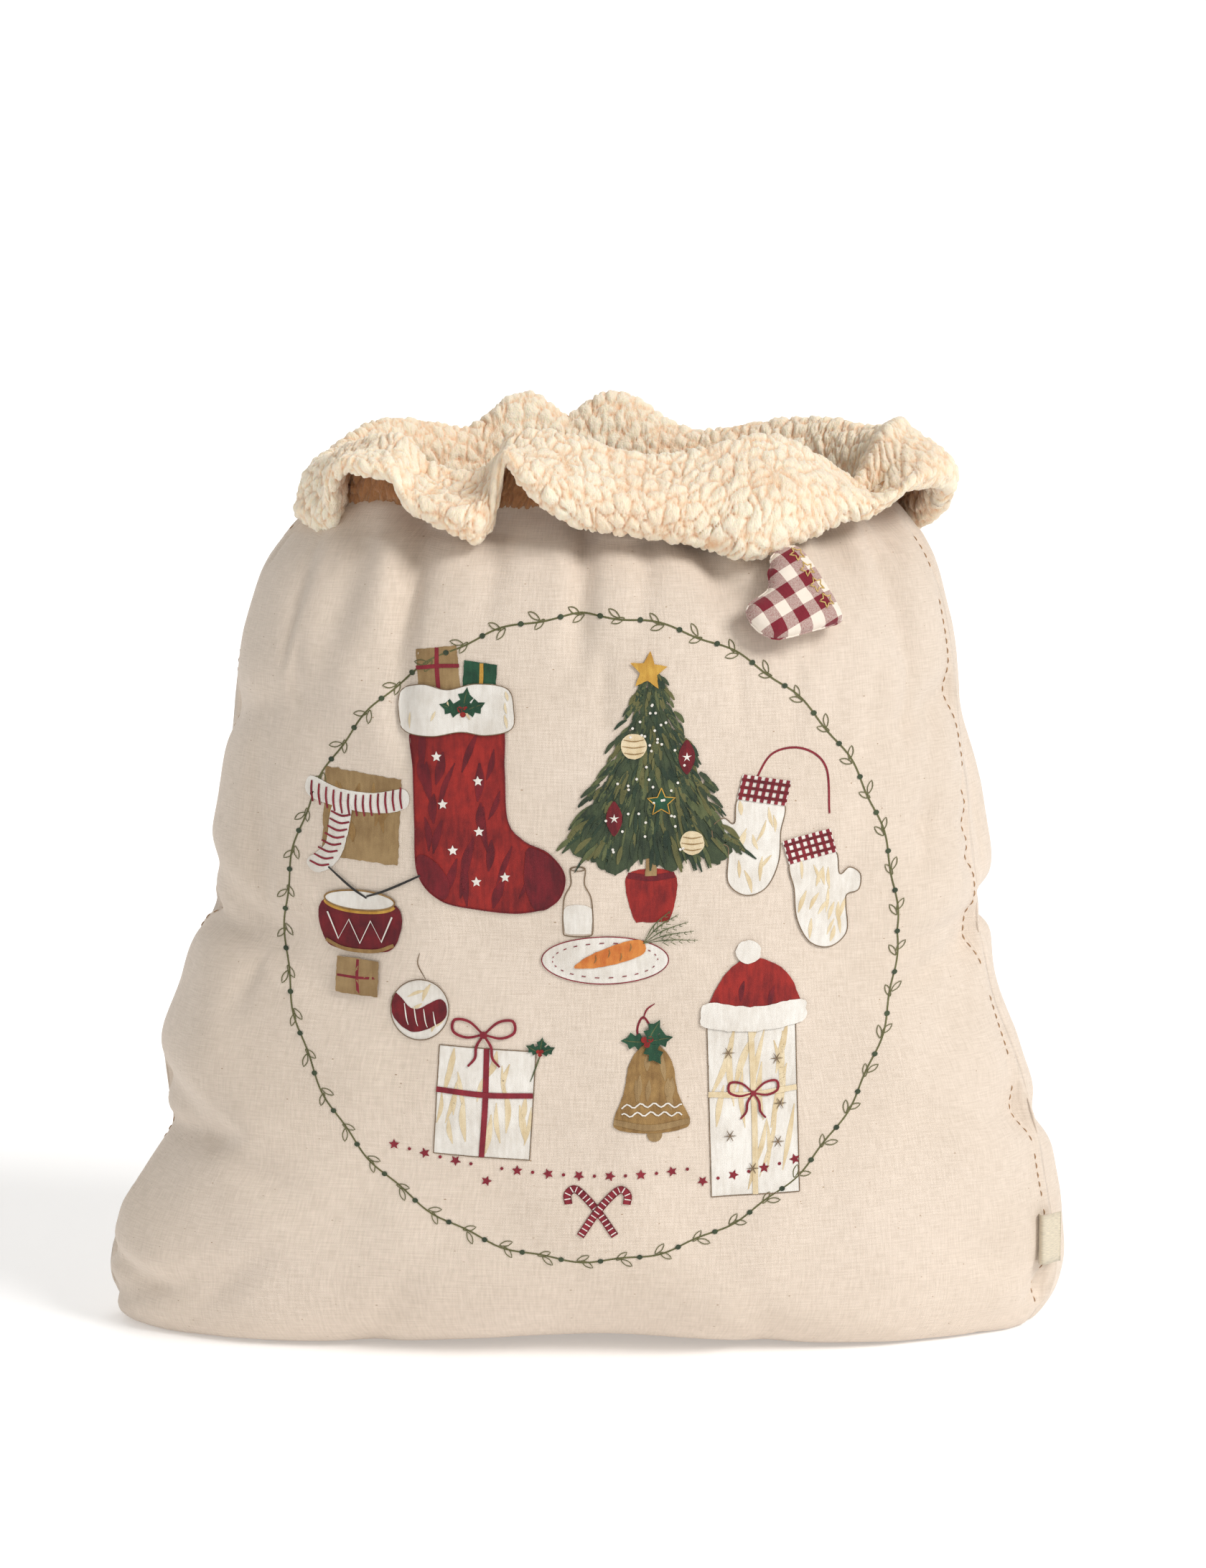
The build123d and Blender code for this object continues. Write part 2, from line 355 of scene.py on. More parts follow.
def uneven(panel, across, up, rng):
    """the panel with slight low unevenness, as its contents would give it"""
    amount, waves, slowest, fastest = 0.8, 24, 2, 14
    result = panel.copy()
    for axis in range(3):
        field = sum(np.cos(rng.uniform(slowest, fastest) * across * rng.choice([-1, 1])
                           + rng.uniform(slowest, fastest) * up + rng.uniform(0, 2 * math.pi))
                    for _ in range(waves)) / 5
        result[1:-1, 1:-1, axis] += amount * field[1:-1, 1:-1]
    return result


def flat_cloth(across, up):
    """the cut panel laid flat, narrowed to the neck and a little to the bottom seam"""
    narrow = 1 - 0.16 * np.clip((up - 0.5) / 0.5, 0, 1) ** 1.5 - 0.13 * np.clip(1 - up / 0.13, 0, 1)
    wide = np.where(across < 0, across * CLOTH_LEFT, across * CLOTH_RIGHT)
    return np.stack([wide * narrow, np.zeros_like(up), up * CLOTH_HEIGHT], -1)


def settled_sack():
    """the two panels, sewn at the sides and the bottom, settled by cloth simulation over their contents"""
    across, up = np.meshgrid(np.linspace(-1, 1, COLUMNS), np.linspace(0, 1, ROWS))
    rng = np.random.default_rng(7)
    sides = (FRONT_REACH, False, FRONT_CREASES), (BACK_REACH, True, BACK_CREASES)
    start = [creased(uneven(filled_shape(across, up, reach, back), across, up, rng), creases)
             for reach, back, creases in sides]
    front_ids = np.arange(ROWS * COLUMNS).reshape(ROWS, COLUMNS)
    own = np.ones((ROWS, COLUMNS), bool)
    own[0] = own[:, 0] = own[:, -1] = False
    back_ids = front_ids.copy()
    back_ids[own] = ROWS * COLUMNS + np.arange(own.sum())
    count = ROWS * COLUMNS + int(own.sum())
    points, flat = np.zeros((count, 3)), np.zeros((count, 3))
    laid = flat_cloth(across, up)
    for ids, panel, shift in ((back_ids, start[1], 1.0), (front_ids, start[0], 0.0)):
        points[ids.ravel()] = panel.reshape(-1, 3)
        flat[ids.ravel()] = laid.reshape(-1, 3) + (0, shift, 0)
    quads = grid_faces(ROWS, COLUMNS)
    faces = np.concatenate([front_ids.ravel()[quads], back_ids.ravel()[quads][:, ::-1]])
    sack = new_mesh("settling_sack", points, faces)
    sack.shape_key_add(name="Basis")
    cut = sack.shape_key_add(name="cut")
    cut.data.foreach_set("co", (flat * MM).astype(np.float32).ravel())
    held = sack.vertex_groups.new(name="held")
    gathered = np.concatenate([ids[-GATHERED_ROWS:].ravel() for ids in (front_ids, back_ids)])
    hold = 0.05 + 0.2 * smoothstep((points[:, 2] - 290) / 90)
    hold[gathered] = 1.0
    for index, weight in enumerate(hold.tolist()):
        held.add([index], weight, "REPLACE")
    ground = new_mesh("settling_floor", 1500 * SQUARE, [(0, 1, 2, 3)])
    ground.modifiers.new("collide", "COLLISION")
    ground.collision.thickness_outer = 0.001
    ground.collision.cloth_friction = 20
    cloth = sack.modifiers.new("cloth", "CLOTH")
    settings = {
        "quality": 6, "mass": 0.3, "tension_stiffness": 40, "compression_stiffness": 20,
        "shear_stiffness": 10, "bending_stiffness": 15, "tension_damping": 5, "compression_damping": 5,
        "shear_damping": 5, "bending_damping": 0.5, "air_damping": 3, "vertex_group_mass": "held",
        "pin_stiffness": 1, "rest_shape_key": cut, "use_pressure": True, "uniform_pressure_force": 20}
    for key, value in settings.items():
        setattr(cloth.settings, key, value)
    cloth.settings.effector_weights.gravity = 0.3
    cloth.collision_settings.distance_min = 0.002
    cloth.point_cache.frame_start = 1
    cloth.point_cache.frame_end = SETTLE_FRAMES + 1
    scene.frame_start, scene.frame_end = 1, SETTLE_FRAMES + 1
    for step in range(1, SETTLE_FRAMES + 2):
        scene.frame_set(step)
    result = np.zeros(count * 3, np.float32)
    settled = sack.evaluated_get(bpy.context.evaluated_depsgraph_get())
    settled.data.vertices.foreach_get("co", result)
    result = result.reshape(-1, 3).astype(float) / MM
    for used in (sack, ground):
        bpy.data.objects.remove(used)
    scene.frame_set(1)
    return result[front_ids], result[back_ids]


def eased(panel):
    """the panel with the pinch at the middle of its bottom fold let out"""
    result = panel.copy()
    for _ in range(EASE_ROUNDS):
        share = np.exp(-(((result[..., 0] - EASE_MIDDLE) / EASE_WIDE) ** 2))
        share *= smoothstep(1 - result[..., 2] / EASE_HIGH)
        target = result.copy()
        target[0, 1:-1] = (result[0, 2:] + result[0, :-2]) / 2
        target[1:-1, 1:-1] = (result[2:, 1:-1] + result[:-2, 1:-1]
                              + result[1:-1, 2:] + result[1:-1, :-2]) / 4
        result += share[..., None] * (target - result)
    return result


def rumpled(panel):
    """the panel with the slight dents that loose contents leave"""
    result = panel.copy()
    for index in np.ndindex(panel.shape[0] - 8, panel.shape[1] - 4):
        row, column = index[0] + 2, index[1] + 2
        x, y, z = panel[row, column]
        depth = sum(deep * noise.noise(Vector((x, y, z)) / size) for size, deep in RUMPLES)
        outward = Vector((SIDEWAYS * x, y, 0)).normalized()
        result[row, column, :2] += depth * np.array(outward[:2])
    return result


def stood_down(panels):
    """the panels, spread a little towards the base and lowered until the lowest point rests on the floor"""
    full_spread_z, no_spread_z, firm_z = 120, 400, 80
    drop = min(panel[..., 2].min() for panel in panels)
    for panel in panels:
        share = 1 - smoothstep((panel[..., 2] - full_spread_z) / (no_spread_z - full_spread_z))
        panel[..., 0] *= 1 + np.where(panel[..., 0] < 0, SPREAD_LEFT, SPREAD_RIGHT) * share
        panel[..., 2] -= drop * (1 - smoothstep(panel[..., 2] / firm_z))
    return panels


settled = [rumpled(creased(eased(panel), folds))
           for panel, folds in zip(settled_sack(), (FRONT_FOLDS, BACK_FOLDS))]
front_cloth, back_cloth = (refined(panel) for panel in stood_down(settled))
cloth_rows, cloth_columns = front_cloth.shape[:2]
cloth_places = np.meshgrid(np.linspace(-1, 1, cloth_columns), np.linspace(0, 1, cloth_rows))
cloth_uv = flat_cloth(*cloth_places)[..., (0, 2)]


def solid_cloth(piece, thickness):
    """gives a sheet its thickness, inwards from the modelled face"""
    solid = piece.modifiers.new("thickness", "SOLIDIFY")
    solid.thickness = thickness * MM
    solid.offset = -1
    solid.use_even_offset = False


def apply_modifiers(piece):
    """replaces the piece's mesh with its shape after its modifiers"""
    settled = piece.evaluated_get(bpy.context.evaluated_depsgraph_get())
    shape = bpy.data.meshes.new_from_object(settled)
    piece.modifiers.clear()
    piece.data = shape
    shape.name = piece.name


CANVAS_THICKNESS = 1.2


# ---------------------------------------------------------------- flat shapes, tubes and the boot's plane
def curve_run(p0, p1, p2, p3, t):
    """the run from p1 to p2 of the smooth curve through four points, at shares t of the way"""
    return 0.5 * (2 * p1 + (p2 - p0) * t + (2 * p0 - 5 * p1 + 4 * p2 - p3) * t**2
                  + (3 * p1 - p0 - 3 * p2 + p3) * t**3)


def shares(p, q, step):
    """shares of the way from p to q, about one step apart"""
    count = max(1, int(round(np.linalg.norm(q - p) / step)))
    return (np.arange(count) / count)[:, None]


def closed_curve(points, step):
    """a smooth closed line through the points, with points about one step apart"""
    fours = zip(*(np.roll(np.asarray(points, float), ahead, axis=0) for ahead in (1, 0, -1, -2)))
    return np.concatenate([curve_run(*four, shares(four[1], four[2], step)) for four in fours])


def straight_loop(points, step):
    """a closed line of straight runs through the points, with points about one step apart"""
    points = np.asarray(points, float)
    runs = zip(points, np.roll(points, -1, axis=0))
    return np.concatenate([p + (q - p) * shares(p, q, step) for p, q in runs])


def open_curve(points, step):
    """a smooth open line through the points, with points about one step apart"""
    points = np.asarray(points, float)
    ends = np.concatenate([[2 * points[0] - points[1]], points, [2 * points[-1] - points[-2]]])
    fours = zip(ends, ends[1:], ends[2:], ends[3:])
    runs = [curve_run(*four, shares(four[1], four[2], step)) for four in fours]
    return np.concatenate(runs + [points[-1:]])


def edge_distance(points, outline):
    """how far each point is from a closed outline"""
    nearest = np.full(len(points), np.inf)
    for p, q in zip(outline, np.roll(outline, -1, axis=0)):
        run = q - p
        t = np.clip(((points - p) @ run) / max(run @ run, 1e-12), 0, 1)
        nearest = np.minimum(nearest, np.linalg.norm(points - p - t[:, None] * run, axis=1))
    return nearest


def inside(points, outline):
    """which points lie inside a closed outline"""
    result = np.zeros(len(points), bool)
    for p, q in zip(outline, np.roll(outline, -1, axis=0)):
        crosses = (p[1] > points[:, 1]) != (q[1] > points[:, 1])
        rise = q[1] - p[1] if abs(q[1] - p[1]) > 1e-12 else 1e-12
        result ^= crosses & (points[:, 0] < (q[0] - p[0]) * (points[:, 1] - p[1]) / rise + p[0])
    return result


def filled(outline, spacing):
    """flat points and triangles that fill a closed outline; the outline's own points come first"""
    row_share, edge_share = 0.866, 0.45
    low, high = outline.min(0), outline.max(0)
    columns = np.arange(low[0], high[0] + spacing, spacing)
    rows = np.arange(low[1], high[1] + spacing, spacing * row_share)
    grid = np.array([(x + (k % 2) * spacing / 2, y) for k, y in enumerate(rows) for x in columns])
    grid = grid[inside(grid, outline)]
    if len(grid):
        grid = grid[edge_distance(grid, outline) > spacing * edge_share]
    points = [Vector(p) for p in np.concatenate([outline, grid])]
    found = geometry.delaunay_2d_cdt(points, [], [list(range(len(outline)))], 1, 1e-6)
    return np.array([tuple(p) for p in found[0]]), [tuple(f) for f in found[2]]


def tubes(paths, radius, sides=6):
    """points and faces of round threads along open paths, a little thinner at their ends"""
    points, faces = [], []
    turn = np.linspace(0, 2 * math.pi, sides, endpoint=False)
    for path in paths:
        path = np.asarray(path, float)
        ahead = unit(np.gradient(path, axis=0))
        side = unit(np.cross(ahead, (0.21, 0.32, 0.92)))
        up = np.cross(side, ahead)
        ends = np.ones(len(path))
        ends[[0, -1]] = 0.45
        ring = path[:, None] + (radius * ends)[:, None, None] * (
            np.cos(turn)[None, :, None] * side[:, None] + np.sin(turn)[None, :, None] * up[:, None])
        first = len(points)
        points.extend(ring.reshape(-1, 3))
        faces.extend(map(tuple, grid_faces(len(path), sides, wrap_columns=True, flip=True) + first))
        faces.append(tuple(range(first, first + sides)))
        last = first + (len(path) - 1) * sides
        faces.append(tuple(range(last + sides - 1, last - 1, -1)))
    return np.array(points), faces


BOOT_PIVOT = np.array([93.0, -83.5, 431.5])
BOOT_FACE = np.array([0.301986, -0.829699, 0.469472])
BOOT_ACROSS = np.array([0.774201, 0.500797, 0.387059])
BOOT_UP = np.cross(BOOT_FACE, BOOT_ACROSS)
BOOT_AXES = np.stack([BOOT_ACROSS, BOOT_UP, BOOT_FACE])
BOOT_HALF = 7.6
BOOT_EDGE = 10.5  # how far in from its outline the boot's side curves
BOOT_OUTLINE = closed_curve([
    (-9.6, -10.6), (-7, -6.8), (0, -5.4), (7, -6.8), (9.8, -10.6), (10.8, -19), (10.5, -30), (9.8, -42),
    (8.4, -50.5), (5.4, -53.4), (-1, -52.6), (-12, -49.8), (-24, -46.9), (-31.6, -44), (-36.2, -38),
    (-37.9, -31), (-36.6, -24.8), (-32, -21.8), (-25, -21.2), (-19.4, -20.4), (-16, -17.6),
    (-13, -12.5)], 1.2)


def from_boot(local):
    """row-frame points of points given across, up and out of the boot"""
    return BOOT_PIVOT + np.asarray(local, float) @ BOOT_AXES


def boot_height(flat):
    """half thickness of the stuffed boot over flat points inside its outline"""
    inward = np.clip(edge_distance(flat, BOOT_OUTLINE) / BOOT_EDGE, 0, 1)
    return BOOT_HALF * np.sqrt(1 - (1 - inward) ** 2)


def pressed_by_boot(panel):
    """the front panel, pushed in where the boot rests on it"""
    middle, reach, deepest, gap = (-17, -36), (80, 75), -30, 0.9
    local = (panel.reshape(-1, 3) - BOOT_PIVOT) @ BOOT_AXES.T
    near = (np.abs(local[:, :2] - middle) < reach).all(1) & (local[:, 2] > deepest)
    flat = local[near, :2]
    outside = np.where(inside(flat, BOOT_OUTLINE), 0, edge_distance(flat, BOOT_OUTLINE))
    limit = -(BOOT_HALF + gap) + 0.012 * outside**2 + 0.1 * outside
    local[near, 2] = np.minimum(local[near, 2], limit)
    return from_boot(local).reshape(panel.shape)


front_cloth = pressed_by_boot(front_cloth)
cloth_faces = grid_faces(cloth_rows, cloth_columns)
cloth_uv = cloth_uv.reshape(-1, 2)
front_panel = new_mesh("front_canvas", front_cloth.reshape(-1, 3), cloth_faces, [CANVAS], uvs=cloth_uv)
back_panel = new_mesh("back_canvas", back_cloth.reshape(-1, 3), cloth_faces[:, ::-1], [CANVAS], uvs=cloth_uv)
front_tree = BVHTree.FromPolygons([Vector(p) for p in front_cloth.reshape(-1, 3)], cloth_faces.tolist())
for panel in (front_panel, back_panel):
    solid_cloth(panel, CANVAS_THICKNESS)
    apply_modifiers(panel)
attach(front_panel, "sack")
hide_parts("front_panel", "bottom_seam", "neck_band_front")
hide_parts("back_panel", "neck_band_back")
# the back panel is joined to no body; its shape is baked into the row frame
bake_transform(back_panel)


# ---------------------------------------------------------------- the fleece cuff
NECK_LEFT, NECK_RIGHT, NECK_DEPTH = 142.0, 152.0, 57.0
# turn round the neck in degrees (-90 is the front), height and reach of the ridge, reach of the belly,
# height and reach of the hem; a reach is measured outwards from the neck
CUFF_KEYS = np.array([
    (-180, 466, 0, 12, 434, 9), (-170, 468, 0, 12, 432, 9), (-160, 472, 0, 14, 432, 11),
    (-153, 476, 2, 18, 438, 14), (-149, 478, 3, 24, 454, 24), (-145, 480, 4, 27, 463, 28),
    (-136, 483, 5, 28, 463, 30), (-131, 480, 5, 27, 460, 28), (-128, 472, 5, 28, 448, 27),
    (-122, 466, 5, 31, 440, 28), (-116, 465, 5, 33, 434, 30), (-112, 468, 4, 31, 432, 27),
    (-110, 474, 4, 25, 440, 22), (-107.5, 484, 6, 27, 468, 27), (-103.5, 486, 8, 33, 461, 33),
    (-99, 486, 8, 36, 449, 34), (-93, 483, 8, 36, 440, 31), (-87, 478, 8, 35, 437, 29),
    (-80, 474, 8, 34, 434, 28), (-74, 474, 7, 34, 431, 28), (-68, 477, 6, 34, 427, 29),
    (-63, 480, 6, 37, 423, 34), (-57, 483, 5, 38, 425, 35), (-52, 482, 5, 36, 430, 32),
    (-46, 478, 5, 31, 433, 27), (-38, 469, 5, 30, 440, 26), (-32, 461, 6, 30, 441, 27),
    (-28, 459, 8, 32, 446, 30), (-24, 467, 9, 34, 453, 34), (-18, 480, 9, 35, 456, 36),
    (-11, 487, 9, 36, 455, 36), (-4, 488, 9, 35, 450, 34), (3, 486, 8, 33, 437, 31),
    (10, 483, 7, 30, 429, 27), (20, 481, 6, 28, 428, 24), (32, 484, 6, 28, 434, 24),
    (45, 484, 6, 28, 440, 24), (58, 480, 5, 28, 434, 25), (70, 477, 5, 29, 430, 24),
    (76, 483, 8, 31, 434, 26), (80, 491, 10, 34, 438, 28), (84, 496, 11, 35, 440, 28),
    (88, 496, 11, 34, 442, 28), (92, 490, 9, 31, 444, 28), (95.5, 484, 7, 30, 441, 26),
    (98.5, 489, 9, 31, 438, 27), (102, 495, 11, 34, 436, 28), (106, 496, 11, 34, 434, 28),
    (110, 491, 9, 32, 434, 26), (116, 480, 6, 28, 440, 25), (128, 482, 5, 29, 446, 27),
    (140, 484, 4, 27, 438, 24), (152, 478, 3, 22, 432, 18), (165, 470, 1, 15, 433, 11),
    (180, 466, 0, 12, 434, 9)], float)
CUFF_AROUND, CUFF_ACROSS = 1400, 128
PILE_DEPTH = 4.6
CURL_SIZES = (7.8, 3.9)
CURL_STRETCH = 0.95
CURL_WANDER, WANDER_SIZE = 2.6, 9.0
CLEFT_WIDTH = 0.85
TUFT_SIZE = 2.6
INNER_FOOT_Z = 444  # where the cuff's inner side starts
EDGE_RADIUS = 6.5  # of the rolled ridge and hem


def neck_point(turn):
    """point and outward direction of the neck line at that turn"""
    wide = np.where(np.cos(turn) < 0, NECK_LEFT, NECK_RIGHT)
    point = np.stack([wide * np.cos(turn), NECK_DEPTH * np.sin(turn)], -1)
    outward = np.stack([np.cos(turn) / wide, np.sin(turn) / NECK_DEPTH], -1)
    return point, unit(outward)


def cuff_section(ridge, ridge_out, belly, hem, hem_out):
    """reach and height of twelve stations round the cuff: up inside, over the ridge, down and back under"""
    under = np.maximum(belly - 13, 3.0)
    outer = np.maximum(belly + 1, under + 10)
    one = np.ones_like(ridge)
    stations = [
        (-8 * one, INNER_FOOT_Z * one), (-9 + 0.3 * ridge_out, 0.5 * (INNER_FOOT_Z + ridge) - 5),
        (ridge_out - 9, ridge - 9), (ridge_out, ridge), (ridge_out + 9.5, ridge - EDGE_RADIUS),
        (outer, 0.5 * ridge + 0.5 * hem), (hem_out + EDGE_RADIUS, hem + EDGE_RADIUS), (hem_out, hem),
        (hem_out - EDGE_RADIUS, hem + 6), (under, 0.42 * ridge + 0.58 * hem + 2),
        (0.5 * (ridge_out + 3 + under * 0.4), ridge - 13), (1.5 * one, (INNER_FOOT_Z + 3) * one)]
    return np.stack([np.stack(station, -1) for station in stations], 1)


def periodic_rows(stations, count):
    """smooth closed sections of evenly spaced points, their station numbers and each section's length"""
    n = stations.shape[1]
    fine = 24
    t = (np.arange(fine) / fine)[None, :, None]
    parts = [curve_run(*(stations[:, (k + d) % n][:, None] for d in (-1, 0, 1, 2)), t) for k in range(n)]
    closed = np.concatenate(parts + [parts[0][:, :1]], 1)
    numbers = np.linspace(0, n, n * fine + 1)
    result, places, lengths = [], [], []
    for section in closed:
        arc = distance_along(section)
        at = np.linspace(0, arc[-1], count, endpoint=False)
        result.append(np.stack([np.interp(at, arc, section[:, c]) for c in range(2)], -1))
        places.append(np.interp(at, arc, numbers))
        lengths.append(arc[-1])
    return np.array(result), np.array(places), np.array(lengths)


def cuff_rings():
    """the bare cuff: points, the station number of each, its place along and across the cloth in mm"""
    trial = np.linspace(-180, 180, 4000)
    reach = hermite(CUFF_KEYS[:, 0], CUFF_KEYS[:, 3], trial)
    point, outward = neck_point(np.radians(trial))
    arc = distance_along(point + outward * reach[:, None])
    at = np.linspace(0, arc[-1], CUFF_AROUND + 1)
    turn = np.interp(at, arc, trial)
    turn[np.argmin(abs(turn))] = 0.0
    keys = [hermite(CUFF_KEYS[:, 0], CUFF_KEYS[:, k], turn) for k in range(1, 6)]
    wobble = [noise.noise(Vector((3 * math.cos(a), 3 * math.sin(a), 7.0))) for a in np.radians(turn)]
    keys[2] = keys[2] + 3.0 * np.array(wobble)
    sections, stations, lengths = periodic_rows(cuff_section(*keys), CUFF_ACROSS)
    point, outward = neck_point(np.radians(turn))
    flat = point[:, None] + outward[:, None] * sections[..., :1]
    rings = np.concatenate([flat, sections[..., 1:]], -1)
    across = np.arange(CUFF_ACROSS)[None] / CUFF_ACROSS * lengths[:, None]
    return turn, rings, stations, np.broadcast_to(at[:, None], across.shape), across


def curls(along, across, total):
    """height of the curly pile, from 0 in the clefts to 1 on the curls"""
    radius = total / (2 * math.pi)
    angle = along / radius
    rolled = np.stack([radius * np.cos(angle), radius * np.sin(angle), across * CURL_STRETCH], -1)
    result = np.empty(along.size)
    for k, p in enumerate(rolled.reshape(-1, 3)):
        spot = Vector(p) + noise.noise_vector(Vector(p / WANDER_SIZE)) * CURL_WANDER
        clefts = [cell[1] - cell[0] for cell in (noise.voronoi(spot / size)[0] for size in CURL_SIZES)]
        domes = [math.sqrt(1 - (1 - min(1.0, cleft / CLEFT_WIDTH)) ** 2) for cleft in clefts]
        tufts = 0.5 + 0.5 * noise.noise(spot / TUFT_SIZE)
        result[k] = 0.56 * domes[0] + 0.26 * domes[1] + 0.18 * tufts
    return result.reshape(along.shape)


def grid_normals(rings):
    """outward normals of a closed-section grid"""
    around = np.gradient(rings, axis=0)
    across = np.roll(rings, -1, axis=1) - np.roll(rings, 1, axis=1)
    return unit(np.cross(across, around))


def fleece_material():
    """cream pile, with painted shade: warmer and darker down in its clefts and brown on the cuff's hidden
    side, where shade falls
    """
    nodes = Nodes("curly_fleece", 0.95, Sheen_Weight=0.3, Sheen_Roughness=0.5, Subsurface_Weight=0.3,
                  Subsurface_Scale=0.008, Subsurface_Radius=(1.0, 0.62, 0.4))
    place = nodes.place()
    pile = nodes.add("ShaderNodeAttribute", attribute_name="pile").outputs["Fac"]
    # the under attribute is the mask of the painted shade on the cuff's hidden side
    shade = nodes.add("ShaderNodeAttribute", attribute_name="under").outputs["Fac"]
    broad = nodes.noise(place, 22.0, 2.0)
    tone = nodes.mix(nodes.remap(broad, 0.35, 0.65), rgb(255, 240, 216), rgb(253, 231, 204))
    # painted shade: low places of the pile, down in the clefts between curls, are tinted a darker warm tan
    deep = nodes.mix(nodes.remap(pile, 0.1, 0.62), rgb(238, 188, 138), tone)
    # painted shade: the cuff's hidden side under the roll is coloured brown, standing in for the shade that
    # falls there
    nodes.colour(nodes.mix(shade, deep, rgb(168, 118, 76)))
    fine = nodes.noise(place, 360.0, 4.0, 0.65)
    strands = nodes.noise(nodes.scaled(place, (1500.0, 1500.0, 500.0)), 1.0, 2.0)
    nodes.bump(nodes.math("ADD", fine, strands), 0.6, 0.0014)
    return nodes.material


FLEECE = fleece_material()
turns, rings, stations, along, across_cloth = cuff_rings()
pile = curls(along, across_cloth, along[-1, 0])
CLOTH_LEVEL = 0.35  # the height in the pile that keeps the bare cuff's place
rings = rings + grid_normals(rings) * (PILE_DEPTH * (pile - CLOTH_LEVEL))[..., None]
rings[-1] = rings[0]
# painted shade on the cuff's hidden side: from 0 to 1 past the hem's station, and back to 0 before the inner
# foot's
painted_under_shade = smoothstep((stations - 7.6) / 1.2) * smoothstep((11.9 - stations) / 0.6)
seam_ring = int(np.argmin(abs(turns)))


def cuff_piece(name, first, last):
    """the cuff from one ring to another, closed at both ends"""
    part = rings[first:last + 1]
    quads = grid_faces(len(part), CUFF_ACROSS, wrap_columns=True, flip=True)
    end = (len(part) - 1) * CUFF_ACROSS
    caps = [tuple(range(CUFF_ACROSS - 1, -1, -1)), tuple(range(end, end + CUFF_ACROSS))]
    piece = new_mesh(name, part.reshape(-1, 3), [tuple(q) for q in quads] + caps, [FLEECE])
    # the under values mask the painted shade on the hidden side; the pile heights also set the painted shade
    # in the clefts
    for attribute, values in (("pile", pile), ("under", painted_under_shade)):
        layer = piece.data.attributes.new(attribute, "FLOAT", "POINT")
        layer.data.foreach_set("value", values[first:last + 1].ravel().astype(np.float32))
    return piece


cuff_front = cuff_piece("cuff_front_fleece", 0, seam_ring)
cuff_back = cuff_piece("cuff_back_fleece", seam_ring, CUFF_AROUND)
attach(cuff_front, "sack")
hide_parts("cuff_front", "cuff_left", "cuff_right")
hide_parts("cuff_back")
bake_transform(cuff_back)


# ---------------------------------------------------------------- the boot charm
CHECK = 7.4
CHECK_SHIFTS = (0.004, 0.0015)


def gingham_material():
    """white and dyed threads in bands both ways, half dyed where two bands cross"""
    nodes = Nodes("gingham_cotton", 0.85, Sheen_Weight=0.2)
    woven(nodes, 0.0007, 0.5, 0.0003)
    u_v = nodes.add("ShaderNodeSeparateXYZ", {0: nodes.cloth()}).outputs
    bands = []
    for socket, shift in zip(u_v[:2], CHECK_SHIFTS):
        place = nodes.math("FLOORED_MODULO", nodes.math("ADD", socket, shift), 2 * CHECK * MM)
        bands.append(nodes.math("LESS_THAN", place, CHECK * MM))
    share = nodes.math("MULTIPLY", nodes.math("ADD", *bands), 0.5)
    threads, crossing = (nodes.noise(nodes.scaled(nodes.cloth(), scale), 1.0, 2.0)
                         for scale in ((4200.0, 900.0, 1.0), (900.0, 4200.0, 1.0)))
    grain = nodes.math("MULTIPLY", nodes.math("SUBTRACT", nodes.math("ADD", threads, crossing), 1.0), 0.9)
    mixed = nodes.math("LESS_THAN", nodes.math("ABSOLUTE", nodes.math("SUBTRACT", share, 0.5)), 0.1)
    share = nodes.math("ADD", share, nodes.math("MULTIPLY", nodes.math("ADD", grain, 0.1), mixed))
    dyed = nodes.mix(nodes.remap(grain, -0.3, 0.3), rgb(104, 3, 26), rgb(134, 10, 38))
    nodes.colour(nodes.mix(share, rgb(238, 226, 212), dyed))
    return nodes.material


GINGHAM = gingham_material()
PUCKER_SIZE, PUCKER_SHARE = 3.0, 0.05
flat, triangles = filled(BOOT_OUTLINE, 1.25)
rim = len(BOOT_OUTLINE)
half = boot_height(flat)
half[:rim] = 0
pucker = np.array([noise.noise(Vector((x / PUCKER_SIZE, y / PUCKER_SIZE, 0.5))) for x, y in flat])
half[rim:] *= 1 + PUCKER_SHARE * pucker[rim:]
count = len(flat)
back_ids = np.arange(count)
back_ids[rim:] = count + np.arange(count - rim)
points = np.concatenate([np.column_stack([flat, half]), np.column_stack([flat[rim:], -half[rim:]])])
faces = triangles + [tuple(back_ids[list(t)][::-1]) for t in triangles]
boot_uv = np.concatenate([flat, flat[rim:]]) * 1.04
boot = new_mesh("boot_charm", from_boot(points), faces, [GINGHAM], uvs=boot_uv)
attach(boot, "charm")
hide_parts("charm_front", "charm_back", "charm_filling", "charm_embroidery")

# the seam's turned edge, as a low cord of cloth round the boot
edge_line = np.column_stack([BOOT_OUTLINE, 0.25 * np.sin(np.arange(rim) * 1.9)])
edge_line = np.concatenate([edge_line, edge_line[:2]])
points, faces = tubes([from_boot(edge_line)], 0.55)
seam = new_mesh("boot_seam", points, faces, [GINGHAM], uvs=((points - BOOT_PIVOT) @ BOOT_AXES.T)[:, :2])
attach(seam, "charm")


def thread_material(name, tone, bright, roughness):
    """twisted sewing thread in two tones"""
    nodes = Nodes(name, roughness, Sheen_Weight=0.3)
    twist = nodes.noise(nodes.scaled(nodes.place(), (900.0, 900.0, 900.0)), 1.0, 2.0)
    nodes.colour(nodes.mix(nodes.remap(twist, 0.35, 0.65), tone, bright))
    nodes.bump(twist, 0.4, 0.0003)
    return nodes.material


